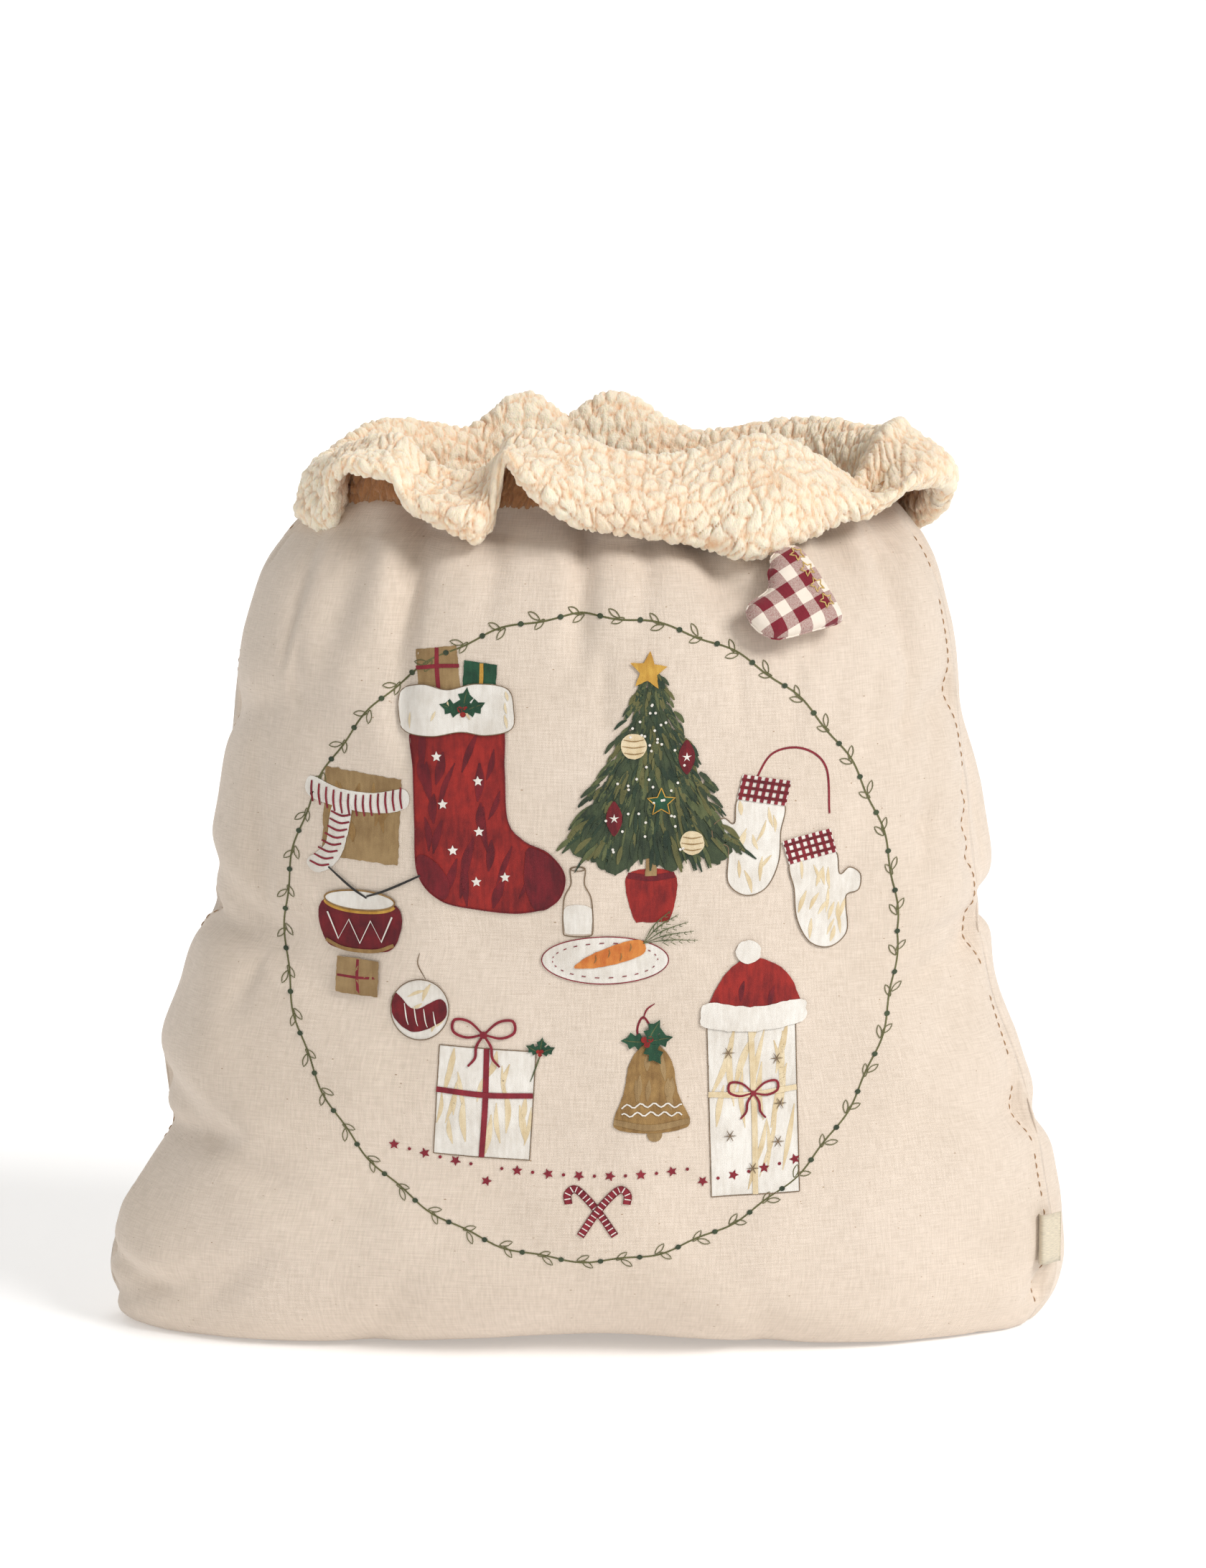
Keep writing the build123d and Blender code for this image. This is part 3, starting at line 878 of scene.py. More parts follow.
GOLD = thread_material("gold_thread", rgb(176, 138, 62), rgb(226, 196, 120), 0.45)
STAR_RADII = (4.4, 2.0)
STAR_PLACES = ((3.5, -12.7), (3.0, -22.2), (2.5, -31.7), (2.0, -41.2))
THREAD_LIFT, THREAD_RADIUS = 0.2, 0.36
star = np.array([(r * math.sin(a), r * math.cos(a))
                 for a, r in zip(np.arange(10) * math.pi / 5, 5 * STAR_RADII)])
star_paths = []
for place in STAR_PLACES:
    line = straight_loop(star, 0.9) + place
    line = np.concatenate([line, line[:2]])
    star_paths.append(from_boot(np.column_stack([line, boot_height(line) + THREAD_LIFT])))
points, faces = tubes(star_paths, THREAD_RADIUS)
stars = new_mesh("boot_stars", points, faces, [GOLD])
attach(stars, "charm")


# ---------------------------------------------------------------- ribbon and label
def strip(name, line, across, thickness, material, body):
    """a flat woven strip along a line, given the half-width vector across it"""
    normal = unit(np.cross(np.gradient(line, axis=0), across))
    sides = np.linspace(-1, 1, 7)
    shell = [line[:, None] + sides[None, :, None] * across + (level * thickness / 2) * normal[:, None]
             for level in (1, -1)]
    section = np.concatenate([shell[0], shell[1][:, ::-1]], 1)
    count = section.shape[1]
    faces = [tuple(q) for q in grid_faces(len(line), count, wrap_columns=True)]
    faces += [tuple(range(count)), tuple(range(len(line) * count - 1, (len(line) - 1) * count - 1, -1))]
    length = distance_along(line)
    around = np.concatenate([sides, sides[::-1]])[None] * np.linalg.norm(across)
    uv = np.stack(np.broadcast_arrays(around, length[:, None]), -1)
    piece = new_mesh(name, section.reshape(-1, 3), faces, [material], uvs=uv.reshape(-1, 2))
    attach(piece, body)
    return piece, length[-1]


def ribbon_material(name, tone):
    """a fine ribbed weave, streaked along the ribbon"""
    nodes = Nodes(name, 0.6, Sheen_Weight=0.3)
    woven(nodes, 0.0005, 0.5, 0.0003)
    streak = nodes.noise(nodes.scaled(nodes.cloth(), (3000.0, 300.0, 1.0)), 1.0, 2.0)
    nodes.colour(nodes.mix(nodes.remap(streak, 0.3, 0.7), tone, tuple(0.7 * c for c in tone[:3]) + (1,)))
    return nodes.material


RIBBON = ribbon_material("charm_ribbon", rgb(150, 30, 50))
RIBBON_HALF, RIBBON_THICKNESS = 2.4, 0.7
tab_across = np.array([0.939693, 0.34202, 0]) * RIBBON_HALF
tab_line = open_curve([(82, -53, 437.2), (85.5, -63, 435.5), (89.4, -73.7, 433.4), (93, -82.7, 431.5)], 1.0)
tab, tab_length = strip("charm_ribbon_tab", tab_line, tab_across, RIBBON_THICKNESS, RIBBON, "sack")
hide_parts("charm_tab")
loop_line = from_boot(open_curve([(0, 0.2, 0.1), (0, -1.8, 0.6), (0, -4, 0.6), (0, -7, 0)], 0.8))
loop, loop_length = strip("charm_ribbon_loop", loop_line, BOOT_ACROSS * RIBBON_HALF, RIBBON_THICKNESS,
                          RIBBON, "ribbon_loop")
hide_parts("charm_loop")


LABEL_CLOTH = ribbon_material("woven_label", rgb(226, 214, 190))
label_low, label_high = (np.array(corner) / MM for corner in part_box("side_label"))
label_half = (label_high[2] - label_low[2]) / 2
label_line = open_curve([(239.6, -34.4), (239.9, -37.4), (241.2, -39.0), (243.8, -37.2), (247.2, -33.8),
                         (250.4, -30.4), (251.3, -29.9)], 0.8)
label_line = np.column_stack([label_line, np.full(len(label_line), label_low[2] + label_half)])
label, label_length = strip("side_label_tab", label_line, np.array([0, 0, label_half]), 0.9, LABEL_CLOTH,
                            "label")
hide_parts("side_label")


# ---------------------------------------------------------------- side seams
SEAM_THREAD = thread_material("seam_thread", rgb(150, 112, 74), rgb(186, 146, 102), 0.7)


def stitches(line, length, gap, lift):
    """short threads along a line, each rising out of the cloth and going back in"""
    arc = distance_along(line)
    rise = np.array([-0.2, 0.7, 1, 0.7, -0.2])[:, None]
    paths = []
    for start in np.arange(0, arc[-1] - length, length + gap):
        at = np.linspace(start, start + length, len(rise))
        path = np.stack([np.interp(at, arc, line[:, k]) for k in range(3)], -1)
        paths.append(path + lift * rise)
    return paths


def seam_stitches(name, column, outward, node):
    """the stitches beside a side seam, where they show"""
    low_z, high_z, hidden = 12, 432, -0.25
    line = front_cloth[:, column]
    line = line[(line[:, 2] > low_z) & (line[:, 2] < high_z)]
    paths = [path for k, path in enumerate(stitches(line, 3.4, 1.8, np.array(outward, float) * 0.45))
             if noise.noise(Vector((k * 0.21, 0, 4))) > hidden]
    points, faces = tubes(paths, 0.32, 5)
    piece = new_mesh(name, points, faces, [SEAM_THREAD])
    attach(piece, "sack")
    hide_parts(node)


seam_stitches("right_seam_stitches", -4, (0.85, -0.52, 0), "right_side_seam")
seam_stitches("left_seam_stitches", 3, (-0.96, -0.2, 0), "left_side_seam")


# ---------------------------------------------------------------- the print on the front
PRINT_CENTRE = np.array([-1.2, 227.7])
PRINT_LIFT = 0.26
LAYER_LIFT = 0.11
TOP_LAYER = 12
BRUSH_EDGE = 2.5  # size of the unevenness along a filled shape's edge
FILL_SPACING = 3.2
print_rng = np.random.default_rng(12)


def ink_material(name, tone, dark, blot):
    """printed watercolour: pools of a darker tone, and the cloth's weave under it"""
    nodes = Nodes("print_" + name, 0.8)
    woven(nodes, THREAD_PITCH, 0.4, 0.0004)
    wash = nodes.noise(nodes.cloth(), blot, 4.0, 0.65)
    streak = nodes.noise(nodes.scaled(nodes.cloth(), (420.0, 90.0, 1.0)), 1.0, 3.0)
    pool = nodes.remap(nodes.math("ADD", wash, nodes.math("MULTIPLY", streak, 0.6)), 0.62, 0.98)
    nodes.colour(nodes.mix(pool, tone, dark))
    return nodes.material


# each ink's tone, the darker tone where it pools, and the scale of the pools
INK_TONES = {
    "red": ((158, 36, 28), (108, 18, 20), 40.0),
    "deep_red": ((118, 20, 30), (84, 10, 22), 70.0),
    "crimson": ((140, 34, 48), (112, 20, 36), 70.0),
    "white": ((236, 232, 225), (214, 207, 197), 30.0),
    "cream": ((228, 212, 180), (206, 184, 144), 70.0),
    "pine": ((66, 78, 52), (38, 50, 36), 70.0),
    "moss": ((98, 104, 66), (68, 78, 48), 70.0),
    "olive": ((104, 102, 62), (84, 84, 48), 70.0),
    "fir": ((48, 66, 46), (30, 46, 34), 70.0),
    "leaf": ((34, 82, 56), (20, 56, 38), 70.0),
    "gold": ((208, 164, 72), (176, 126, 44), 70.0),
    "bronze": ((160, 126, 76), (126, 94, 52), 70.0),
    "kraft": ((162, 134, 92), (134, 106, 68), 40.0),
    "carrot": ((216, 138, 66), (190, 104, 44), 70.0),
    "line": ((128, 106, 82), (104, 84, 62), 70.0),
    "dark": ((52, 50, 46), (34, 32, 32), 70.0),
}
INKS = {name: ink_material(name, rgb(*tone), rgb(*dark), blot)
        for name, (tone, dark, blot) in INK_TONES.items()}
INK_NAMES = list(INKS)


def oval(x, y, wide, high, turn=0.0, step=1.6):
    """a closed oval line"""
    count = max(10, int(math.pi * (wide + high) / step))
    a = np.linspace(0, 2 * math.pi, count, endpoint=False)
    flat = np.stack([wide * np.cos(a), high * np.sin(a)], -1)
    return turned(flat, turn) + (x, y)


def turned(flat, degrees):
    """flat points turned anticlockwise about the origin"""
    c, s = math.cos(math.radians(degrees)), math.sin(math.radians(degrees))
    return np.asarray(flat, float) @ np.array([[c, s], [-s, c]])


def star_line(x, y, radius, waist=0.46, turn=0.0):
    """the corners of a five-pointed star"""
    a = np.arange(10) * math.pi / 5 + math.pi / 2
    r = np.where(np.arange(10) % 2 == 0, radius, radius * waist)
    return turned(np.stack([r * np.cos(a), r * np.sin(a)], -1), turn) + (x, y)


def left_of(line):
    """the direction to the left at each point of a line"""
    ahead = unit(np.gradient(line, axis=0))
    return np.stack([-ahead[:, 1], ahead[:, 0]], -1)


class Motif:
    """one printed drawing, built of flat shapes in mm from the middle of the wreath and laid on the canvas"""

    def __init__(self, name, x=0.0, y=0.0, turn=0.0, size=1.0):
        self.name, self.origin, self.turn, self.size = name, np.array([x, y], float), turn, size
        self.points, self.faces, self.inks, self.layer = [], [], [], 0

    def at(self, layer):
        """the motif with its next shape in that layer"""
        self.layer = layer
        return self

    def lay(self, flat, faces, ink):
        """lays a flat shape on the cloth, one layer above the last one"""
        first = len(self.points)
        for x, y in turned(flat, self.turn) * self.size + self.origin + PRINT_CENTRE:
            spot, normal = front_tree.ray_cast(Vector((x, -400, y)), Vector((0, 1, 0)))[:2]
            self.points.append((*(spot + normal * (PRINT_LIFT + LAYER_LIFT * self.layer)), x, y))
        self.faces += [tuple(first + i for i in face) for face in faces]
        self.inks += [INK_NAMES.index(ink)] * len(faces)
        self.layer = min(self.layer + 1, TOP_LAYER)

    def fill(self, outline, ink, smooth=True, rough=0.35):
        """a filled shape with a slightly uneven brushed edge"""
        line = closed_curve(outline, 1.7) if smooth else straight_loop(outline, 1.7)
        shifts = [noise.noise_vector(Vector((x / BRUSH_EDGE, y / BRUSH_EDGE, 3.0)))[:2] for x, y in line]
        self.lay(*filled(line + rough * np.array(shifts), FILL_SPACING), ink)

    def star(self, *place_and_size, ink, rough=0.35, **shape):
        """a filled star"""
        self.fill(star_line(*place_and_size, **shape), ink, smooth=False, rough=rough)

    def stroke(self, line, width, ink, taper=0.6, smooth=True):
        """a pen or brush stroke along an open line"""
        line = open_curve(line, 1.4) if smooth else np.asarray(line, float)
        n = len(line)
        along = np.linspace(0, 1, n)
        half = width / 2 * (1 - taper + taper * np.sin(math.pi * np.clip(along, 0.03, 0.97)))[:, None]
        side = left_of(line)
        faces = [(i + n, i + 1 + n, i + 1, i) for i in range(n - 1)]
        self.lay(np.concatenate([line + side * half, line - side * half]), faces, ink)

    def ring(self, outline, width, ink, smooth=True):
        """a pen line round a closed shape"""
        line = closed_curve(outline, 1.3) if smooth else straight_loop(outline, 1.3)
        self.stroke(np.concatenate([line, line[:1]]), width, ink, taper=0.0, smooth=False)

    def brush(self, outline, ink, count, length, width, lean, spread=25.0):
        """loose brush strokes inside a shape, leaning at an angle"""
        outline = np.asarray(outline, float)
        low, high = outline.min(0), outline.max(0)
        layer = self.layer
        for _ in range(count):
            spot = print_rng.uniform(low, high)
            angle = math.radians(lean + print_rng.uniform(-spread, spread))
            heading = np.array([math.cos(angle), math.sin(angle)])
            reach = length * print_rng.uniform(0.6, 1.1) / 2 * heading
            bend = print_rng.uniform(-0.12, 0.12) * np.array([-reach[1], reach[0]])
            line = np.array([spot - reach, spot + bend, spot + reach])
            if inside(line, outline).all():
                self.at(layer).stroke(line, width * print_rng.uniform(0.7, 1.2), ink, taper=0.9)

    def done(self):
        """makes the motif's one piece"""
        data = np.array(self.points)
        used = sorted(set(self.inks))
        piece = new_mesh("print_" + self.name, data[:, :3], self.faces, [INKS[INK_NAMES[k]] for k in used],
                         [used.index(k) for k in self.inks], uvs=data[:, 3:])
        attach(piece, "sack")


def wreath():
    """a thin vine in a ring, with a dot at each joint and a pair of outlined leaves between joints"""
    motif = Motif("wreath")
    joints = 49
    wide, high, sway = 159.5, 168.0, 0.9
    leaf = np.array([(0, 0), (1.9, 1.0), (4.2, 1.3), (7.0, 0.1), (4.4, -1.2), (2.0, -1.0)])

    def vine(turn, out=0.0):
        return np.stack([(wide + out) * np.cos(turn), (high + out) * np.sin(turn)], -1)

    a = np.linspace(0, 2 * math.pi, joints * 8 + 1)
    motif.stroke(vine(a, sway * np.sin(a * joints / 2)), 0.85, "olive", taper=0.0, smooth=False)
    for k in range(joints):
        turn = 2 * math.pi * k / joints
        joint = vine(turn, sway * math.sin(turn * joints / 2))
        motif.at(2).lay(*filled(oval(*joint, 1.5, 1.35, step=0.8), 1.0), "pine")
        for side in (-1, 1):
            root = vine(turn + (0.4 if side > 0 else 0.52) * 2 * math.pi / joints)
            heading = math.degrees(turn) + 90 + side * (34 + 6 * math.sin(5.0 * k))
            motif.at(1).ring(turned(leaf, heading) + root, 0.5, "olive")
    motif.done()


def bow(motif, x, y, size, ink, width):
    """a tied ribbon bow: two loops and two tails"""
    for side in (-1, 1):
        loop = np.array([(0, 0), (0.5, 0.45), (1.0, 0.5), (1.05, 0.1), (0.6, -0.1), (0.05, 0)]) * size
        tail = np.array([(0, 0), (0.25, -0.4), (0.3, -0.8), (0.55, -1.1)]) * size
        for line in (loop, tail):
            motif.stroke(line * (side, 1) + (x, y), width, ink, taper=0.3)
    motif.fill(oval(x, y, size * 0.14, size * 0.13), ink)


def holly(motif, x, y, size, turns):
    """holly leaves with a vein each, and three berries"""
    leaf = np.array([(0, 0), (0.2, 0.16), (0.32, 0.36), (0.48, 0.2), (0.68, 0.34), (0.78, 0.14), (1.05, 0.02),
                     (0.78, -0.14), (0.68, -0.34), (0.48, -0.2), (0.32, -0.36), (0.2, -0.16)]) * size
    for turn in turns:
        motif.fill(turned(leaf, turn) + (x, y), "leaf", smooth=False, rough=0.2)
        motif.stroke(turned(np.array([(0.1, 0), (0.5, 0.02), (0.92, 0)]) * size, turn) + (x, y), 0.5, "moss")
    for dx, dy in ((-0.12, 0.1), (0.12, 0.12), (0.0, -0.1)):
        motif.fill(oval(x + dx * size, y + dy * size, 0.13 * size, 0.13 * size, step=0.9), "red", rough=0.1)


def stocking():
    """a red stocking filled with small presents"""
    m = Motif("stocking", -66, 71, 3, 0.93)
    m.fill([(-20, 62), (-21, 86), (2, 88), (3, 62)], "kraft", smooth=False)
    m.stroke([(-9, 62), (-9.5, 75), (-9, 87)], 2.4, "crimson", taper=0.1)
    m.stroke([(-21, 76), (-9, 77), (3, 77)], 2.2, "crimson", taper=0.1)
    m.fill([(4, 62), (6, 80), (24, 77), (22, 60)], "leaf", smooth=False)
    m.stroke([(14, 62), (15, 70), (15.5, 78)], 2.2, "gold", taper=0.1)
    body = [(-24, 46), (0, 47), (24, 46), (25, 20), (25, -8), (33, -20), (47, -28), (55, -41), (49, -55),
            (30, -60), (4, -57), (-15, -51), (-26, -36), (-26, -8), (-25, 20)]
    m.fill(body, "red")
    m.brush(body, "deep_red", 55, 26, 4.5, 80, 16)
    m.fill([(36, -24), (48, -30), (55, -42), (49, -55), (38, -59), (33, -46), (33, -34)], "deep_red")
    m.fill([(-25, -26), (-16, -30), (-9, -42), (-12, -51), (-20, -46), (-26, -36)], "deep_red")
    m.ring(body, 0.6, "deep_red")
    cuff = [(-29, 42), (-14, 39), (2, 41), (16, 39), (30, 42), (32, 52), (29, 64), (12, 67), (-4, 64),
            (-18, 67), (-30, 63), (-32, 52)]
    m.fill(cuff, "white", rough=0.7)
    m.ring(cuff, 0.45, "line")
    m.brush(cuff, "cream", 16, 8, 1.6, 85, 30)
    holly(m, 4, 52, 13, (160, 20, 75))
    for x, y in ((-12, 28), (10, 14), (-10, 2), (9, -14), (-6, -24), (22, -40), (6, -42)):
        m.at(7).star(x, y, 3.0, ink="white", rough=0.1)
    m.done()


def tree():
    """a trimmed tree in a red pot"""
    m = Motif("tree", 31, 0)
    m.fill([(-12, 37), (12, 37), (10, 14), (4, 12), (-4, 12), (-9, 14)], "red")
    m.stroke([(-12, 36.5), (0, 35), (12, 36.5)], 3.4, "deep_red", taper=0.1)
    m.fill([(-2.5, 50), (2.5, 50), (3, 36), (-3, 36)], "kraft", smooth=False)
    core = [(-1, 134), (7, 118), (14, 104), (23, 86), (34, 66), (42, 50), (34, 42), (22, 46), (10, 38),
            (-4, 45), (-18, 37), (-30, 44), (-42, 50), (-34, 66), (-23, 86), (-13, 104), (-7, 118)]
    m.fill(core, "pine", rough=2.0)
    base = m.layer
    needles = ("pine", "moss", "pine", "olive", "fir")
    for k in range(520):
        up = print_rng.uniform(0, 1) ** 0.75
        y = 136 - 90 * up
        reach = 3 + 45 * up
        out = print_rng.uniform(-1, 1) * reach
        lean = math.radians(-90 + 46 * out / reach + print_rng.uniform(-12, 12))
        length = print_rng.uniform(8, 16) * (0.5 + 0.5 * up)
        start = np.array([out * 0.88, y + 5])
        tip = start + length * np.array([math.cos(lean), math.sin(lean)])
        line = [start, (start + tip) / 2 + (0, 0.8), tip]
        m.at(base + k % 3).stroke(line, print_rng.uniform(1.2, 3.0), needles[k % 5], taper=0.7)
    m.at(8).star(-1.5, 141, 10, turn=-6, ink="gold")
    for x, y, r in ((-9, 103, 6.6), (21, 53, 6.2)):
        m.at(8).fill(oval(x, y, r, r), "cream")
        for level in (-0.5, 0, 0.5):
            half = r * math.sqrt(1 - level**2) * 0.9
            band_y = y + level * r
            m.at(10).stroke([(x - half, band_y), (x, band_y - 0.8), (x + half, band_y)], 0.5, "bronze")
    for x, y, r in ((18, 97, 7), (-19, 66, 7)):
        m.at(8).fill([(x, y + r * 1.3), (x + r * 0.6, y), (x, y - r * 1.3), (x - r * 0.6, y)], "deep_red")
        m.star(x, y, 2.6, 0.3, ink="white", rough=0.05)
    m.at(8).star(5, 74, 7.5, ink="leaf")
    m.ring(star_line(5, 74, 7.5), 0.5, "gold", smooth=False)
    for _ in range(44):
        up = print_rng.uniform(0.1, 1)
        bead = oval(print_rng.uniform(-0.8, 0.8) * (3 + 38 * up), 134 - 86 * up, 0.7, 0.7, step=0.7)
        m.at(9).lay(*filled(bead, 0.7), "white")
    m.done()


def drum_and_parcel():
    """a parcel with a striped scarf round it, and a toy drum with its sticks"""
    m = Motif("drum", -119, 6)
    m.fill([(-20, 36), (20, 33), (22, 78), (-18, 82)], "kraft", smooth=False, rough=0.8)
    m.brush([(-19, 37), (19, 34), (21, 77), (-17, 81)], "bronze", 26, 18, 3.5, 85, 20)
    scarf = [(-27, 66), (-8, 61), (12, 60), (25, 64), (24, 73), (8, 70), (-10, 71), (-26, 76)]
    m.fill(scarf, "white")
    m.fill([(-14, 62), (-4, 62), (-10, 36), (-22, 26), (-28, 32), (-18, 42)], "white")
    for t in np.linspace(0.03, 0.97, 13):
        x = -26 + 50 * t
        y = 66 - 6 * math.sin(math.pi * t)
        m.at(5).stroke([(x, y - 2.5), (x - 0.8, y + 3), (x - 0.5, y + 8.5)], 1.1, "crimson", taper=0.2)
    for t in np.linspace(0.08, 0.95, 8):
        x, y = -9 - 13 * t**1.6, 60 - 31 * t
        m.at(5).stroke([(x - 5.5, y + 1.5), (x, y - 0.5), (x + 5, y + 0.5)], 1.1, "crimson", taper=0.2)
    m.at(5).fill([(-18, -10), (0, -14), (18, -10), (19, 12), (-19, 12)], "deep_red")
    hoop = oval(0, 12, 18.5, 5)
    m.stroke(hoop[len(hoop) // 2:], 1.4, "gold", taper=0.0)
    m.fill(oval(0, 13.5, 18, 5), "white")
    m.ring(oval(0, 13.5, 18.5, 5.2), 0.9, "bronze")
    m.stroke([(-18, -9), (-8, -13), (8, -13), (18, -9)], 2.0, "bronze", taper=0.1)
    corners = zip(np.arange(-17, 20, 5.7), (6, -6, 6, -6, 6, -6, 6))
    zigzag = [(x, rise - 3.5 + 0.012 * x**2) for x, rise in corners]
    m.stroke(zigzag, 0.9, "white", taper=0.0, smooth=False)
    for line in (((-16, 30), (-4, 20), (4, 15)), ((32, 29), (14, 20), (4, 16))):
        m.stroke(line, 1.3, "dark", taper=0.3)
    m.fill([(-13, -36), (9, -37), (10, -18), (-12, -17)], "kraft", smooth=False, rough=0.5)
    m.stroke([(-1, -36), (-1.5, -27), (-1, -18)], 1.6, "crimson", taper=0.1)
    m.stroke([(-12, -27), (0, -27.5), (9, -27)], 1.4, "crimson", taper=0.1)
    m.done()


def mittens():
    """a pair of white mittens on a red cord"""
    m = Motif("mittens", 97, 45)
    m.stroke([(-14, 36), (-4, 52), (12, 54), (24, 44), (26, 20)], 1.1, "crimson", taper=0.1)
    hand = np.array([(-14, 20), (13, 20), (15, 2), (17, -16), (12, -32), (0, -38), (-12, -32), (-15, -16),
                     (-17, -10), (-25, -9), (-28, 0), (-22, 6), (-15, 4)])
    cuff = np.array([(-16, 18), (15, 18), (16, 33), (-15, 33)])
    for x, y, turn, flip in ((-12, 12, -10, 1), (20, -18, 12, -1)):
        shape = turned(hand * (0.82 * flip, 0.86), turn) + (x, y)
        m.at(2 if flip > 0 else 4).fill(shape[::flip], "white")
        m.brush(shape, "cream", 26, 12, 2.2, 80, 30)
        m.ring(shape, 0.5, "line")
        band = turned(cuff * (0.82 * flip, 0.86), turn) + (x, y)
        m.fill(band[::flip], "white", smooth=False)
        for t in np.linspace(0.06, 0.94, 7):
            low, high = band[0] + (band[1] - band[0]) * t, band[3] + (band[2] - band[3]) * t
            m.at(8).stroke([low, (low + high) / 2, high], 1.8, "crimson", taper=0.0)
        for t in (0.2, 0.5, 0.8):
            low, high = band[0] + (band[3] - band[0]) * t, band[1] + (band[2] - band[1]) * t
            m.at(9).stroke([low, (low + high) / 2, high], 1.5, "deep_red", taper=0.0)
    m.done()


def milk_and_plate():
    """a bottle of milk, and a plate with a carrot"""
    m = Motif("supper", 0, 0)
    bottle = [(-10, 40), (-3, 40), (-3, 32), (0.5, 24), (1.2, 8), (-1, 5), (-12, 5), (-14, 8), (-13.5, 24),
              (-10, 32)]
    m.fill([(-12.8, 20), (0, 20), (0.4, 8), (-1.5, 6), (-11.5, 6), (-13.2, 8)], "white")
    m.ring(bottle, 0.6, "line")
    m.ring(oval(-6.5, 40, 4, 1.1), 0.5, "line")
    plate = oval(7.5, -8, 32.5, 12.5)
    m.fill(plate, "white")
    m.ring(plate, 0.55, "crimson")
    rim = oval(7.5, -8, 27, 9.2)
    for k in range(0, len(rim) - 2, 3):
        m.at(6).stroke(rim[k:k + 2], 0.5, "crimson", taper=0.0, smooth=False)
    carrot = [(-8, -12), (-2, -6), (8, -1.5), (20, 2.5), (27, 2), (28, -3.5), (22, -7), (8, -11)]
    m.at(7).fill(carrot, "carrot")
    for x, y in ((2, -7), (9, -4), (15, -6), (20, -1)):
        m.at(9).stroke([(x, y - 2.2), (x + 0.8, y), (x + 0.5, y + 2)], 0.6, "bronze")
    root = np.array([27, 1])
    for dx, dy in ((18, 15), (23, 11), (26, 6), (28, 1), (14, 17)):
        tip = root + (dx, dy)
        heading = math.degrees(math.atan2(dy, dx))
        m.at(9).stroke([root, (root + tip) / 2 + (-1.5, 1.0), tip], 0.6, "moss")
        for t in (0.35, 0.5, 0.65, 0.8, 0.92):
            m.at(10)
            spot = root + (tip - root) * t
            for side in (-1, 1):
                away = turned([(4.2 * (1.1 - t), side * 2.4 * (1.2 - t))], heading)[0]
                m.stroke([spot, spot + away * 0.6, spot + away], 0.45, "moss")
    m.done()


def box_of(m, x, y, wide, high, ink, ribbon, turn=0.0):
    """a wrapped box with a ribbon both ways"""
    corners = np.array([(-wide, -high), (wide, -high), (wide * 1.02, high), (-wide * 0.98, high)]) / 2
    shape = turned(corners, turn) + (x, y)
    m.fill(shape, ink, smooth=False, rough=0.8)
    m.brush(shape, "cream", 30, high * 0.4, 3.0, 84, 14)
    m.ring(shape, 0.5, "line", smooth=False)
    upright = (0, -high / 2), (0.6, 0), (0, high / 2)
    level = (-wide / 2, high * 0.1), (0, high * 0.08), (wide / 2, high * 0.1)
    for line in (upright, level):
        m.stroke(turned(line, turn) + (x, y), 3.0, ribbon, taper=0.05)


def white_box():
    """a white present with a red bow, a plaid bauble and a sprig of holly"""
    m = Motif("white_present", -55, -82)
    box_of(m, 0, -2, 50, 58, "white", "crimson", -3)
    bow(m.at(5), 0, 34, 15, "crimson", 1.5)
    m.at(1).stroke([(-30, 62), (-34, 70), (-33, 76)], 0.6, "line")
    bauble = oval(-33, 46, 15, 16, -20)
    m.fill(bauble, "white")
    m.brush(bauble, "cream", 14, 10, 2.0, 60, 40)
    m.fill([(-47, 42), (-36, 34), (-20, 42), (-22, 52), (-36, 46), (-46, 54)], "deep_red")
    for t in (0.2, 0.4, 0.6, 0.8):
        x = 25 * t
        m.at(6).stroke([(x - 46, 50 - 6 * t), (x - 45, 42 - 4 * t), (x - 44, 38 - 2 * t)], 0.7, "white")
    m.ring(bauble, 0.5, "line")
    m.at(3).stroke([(24, 10), (27, 18), (30, 26)], 0.8, "moss")
    holly(m, 29, 25, 8, (20, 80, 150))
    m.done()


def bell():
    """a bronze bell with holly and a cord"""
    m = Motif("bell", 31, -72)
    m.stroke([(-4, 18), (-7, 27), (-4, 34), (0, 27), (-3, 18)], 1.1, "crimson", taper=0.1)
    m.stroke([(-4, 33), (-2, 38), (2, 41)], 0.9, "crimson")
    m.fill(oval(2, -28, 4, 3.4), "kraft")
    shape = [(-4, 19), (4, 19), (11, 10), (14, -6), (20, -20), (17, -25), (0, -27), (-17, -25), (-19, -20),
             (-14, -6), (-11, 10)]
    m.fill(shape, "bronze")
    m.brush(shape, "kraft", 30, 14, 3.2, 88, 16)
    m.stroke([(-19, -21), (0, -24), (20, -21)], 3.2, "kraft", taper=0.1)
    for offset, shift in ((-12, 0.0), (-16.5, 1.5)):
        wave = [(x, offset + 1.1 * math.sin(x * 0.9 + shift) - 0.004 * x * x)
                for x in np.linspace(-15, 16, 24)]
        m.stroke(wave, 0.8, "white", taper=0.1)
    holly(m, -2, 21, 13, (175, 10, 60, 300))
    m.done()


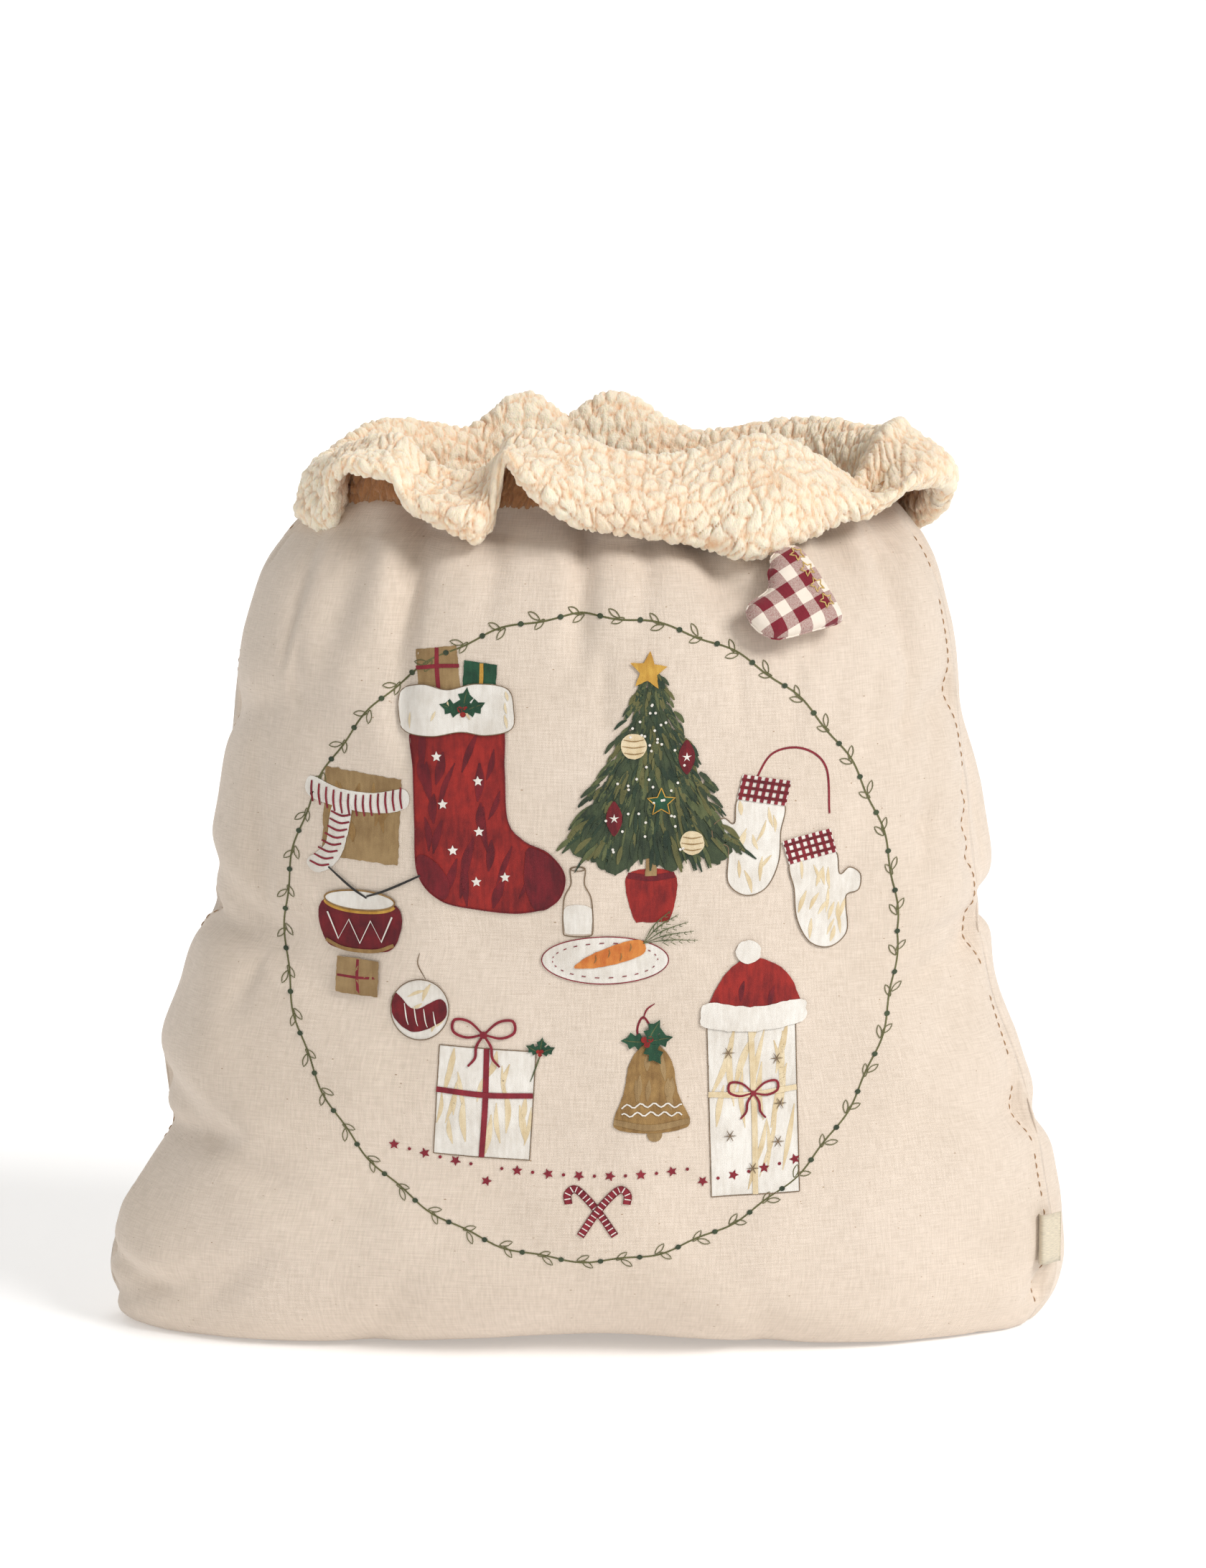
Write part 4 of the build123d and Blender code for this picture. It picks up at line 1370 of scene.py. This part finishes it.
def tall_box():
    """a tall white present with a red winter hat on it"""
    m = Motif("tall_present", 84, -84)
    box_of(m, 0, -4, 46, 92, "white", "cream", 2)
    bow(m.at(5), 0, 4, 12, "crimson", 1.3)
    for x, y in ((-13, 26), (12, 22), (-12, -18), (13, -22), (0, -36), (14, -2)):
        for turn in (0, 60, 120):
            m.at(6).stroke(turned([(-3.2, 0), (0, 0), (3.2, 0)], turn) + (x, y), 0.6, "line")
    m.at(5).fill([(-21, 46), (-16, 66), (-2, 76), (14, 70), (22, 58), (21, 46)], "red")
    m.brush([(-20, 47), (-15, 65), (-2, 74), (13, 69), (20, 58), (20, 47)], "deep_red", 18, 14, 3.2, 75, 25)
    brim = [(-25, 40), (0, 37), (25, 41), (27, 48), (24, 53), (0, 50), (-24, 53), (-27, 47)]
    m.fill(brim, "white", rough=0.7)
    m.fill(oval(-3, 79, 6.5, 6.2), "white", rough=0.8)
    m.done()


def candy_canes():
    """two crossed striped canes"""
    m = Motif("candy_canes", 3.6, -140)
    cane = np.array([(-9, -14), (-1, -2), (7, 7.5), (12, 11), (15.5, 8), (15, 3)])
    for side in (-1, 1):
        line = open_curve(cane * (side, 1), 0.55)
        m.at(1 if side < 0 else 4).stroke(line, 3.8, "crimson", taper=0.0, smooth=False)
        base = m.layer
        for k in range(2, len(line) - 1, 5):
            m.at(base).stroke(line[k:k + 2], 3.3, "white", taper=0.0, smooth=False)
        out = left_of(line) * 1.85
        for edge in (line + out, line - out):
            m.at(base + 1).stroke(edge, 0.4, "deep_red", taper=0.0, smooth=False)
    m.done()


def star_row():
    """small stars and dots in a shallow arc under the presents"""
    m = Motif("star_row", 2, 0)
    for k, x in enumerate(np.linspace(-104, 104, 27)):
        y = -122 + 0.0013 * x * x
        if abs(x + 55) < 3 or 50 < x < 112:
            y -= 8  # below the presents that reach down to the arc
        if k % 2 == 0:
            m.at(2).star(x, y, 3.0, turn=9 * k, ink="crimson", rough=0.1)
        else:
            m.at(2).lay(*filled(oval(x, y, 0.9, 0.9, step=0.7), 0.8), "crimson")
    m.done()


for draw in (wreath, stocking, tree, drum_and_parcel, mittens, milk_and_plate, white_box, bell, tall_box,
             candy_canes, star_row):
    draw()


# ---------------------------------------------------------------- floor, light and camera
STAGE_REACH = 6000


def floor_material():
    """pale paper that glows a little, so that the backdrop stays white"""
    nodes = Nodes("pale_floor", 0.7, Emission_Color=(1, 1, 1, 1), Emission_Strength=0.22)
    nodes.colour(nodes.mix(nodes.noise(nodes.place(), 3.0), rgb(250, 250, 250), rgb(246, 246, 247)))
    return nodes.material


stage_corners = STAGE_REACH * np.concatenate([SQUARE, [(1, 1, 1), (-1, 1, 1)]])
floor = new_mesh("floor", stage_corners, [(0, 1, 2, 3), (3, 2, 4, 5)], [floor_material()], smooth=False)


def look_at(thing, target):
    """turns a lamp or camera to a point"""
    direction = Vector(target) - thing.location
    thing.rotation_mode = "QUATERNION"
    thing.rotation_quaternion = direction.to_track_quat("-Z", "Y")


def light(name, kind, place, target, **settings):
    """a lamp at a place, aimed at a point"""
    lamp = bpy.data.lights.new(name, kind)
    for key, value in settings.items():
        setattr(lamp, key, value)
    thing = bpy.data.objects.new(name, lamp)
    thing.location = place
    scene.collection.objects.link(thing)
    look_at(thing, target)


light("key_light", "SUN", (1.9, -1.4, 1.8), (0, 0, 0), energy=2.2, angle=math.radians(24),
      color=(1.0, 0.985, 0.97))
light("fill_light", "AREA", (-1.8, -1.6, 1.0), (0, 0, 0.25), shape="RECTANGLE", size=1.6, size_y=1.6,
      energy=4, color=(0.96, 0.98, 1.0))
light("back_light", "AREA", (-0.4, 1.6, 1.8), (0, 0, 0.35), shape="RECTANGLE", size=1.4, size_y=0.8,
      energy=8, color=(1.0, 0.98, 0.95))

world = bpy.data.worlds.new("studio")
world.use_nodes = True
background = world.node_tree.nodes["Background"].inputs
background["Color"].default_value = (1.0, 0.985, 0.95, 1.0)
background["Strength"].default_value = 0.43
scene.world = world
scene.view_settings.view_transform = "Standard"

CAMERA_DISTANCE = 2.5
CAMERA_RAISED = math.radians(9.0)
VIEW_HEIGHT = 0.841
FILM_HEIGHT = 36.0
target = Vector((0.0052, 0, 0.292))
camera_data = bpy.data.cameras.new("camera")
camera_data.sensor_fit = "VERTICAL"
camera_data.sensor_height = FILM_HEIGHT
camera_data.lens = FILM_HEIGHT * CAMERA_DISTANCE / VIEW_HEIGHT
camera = bpy.data.objects.new("camera", camera_data)
camera.location = target + CAMERA_DISTANCE * Vector((0, -math.cos(CAMERA_RAISED), math.sin(CAMERA_RAISED)))
scene.collection.objects.link(camera)
look_at(camera, target)
scene.camera = camera
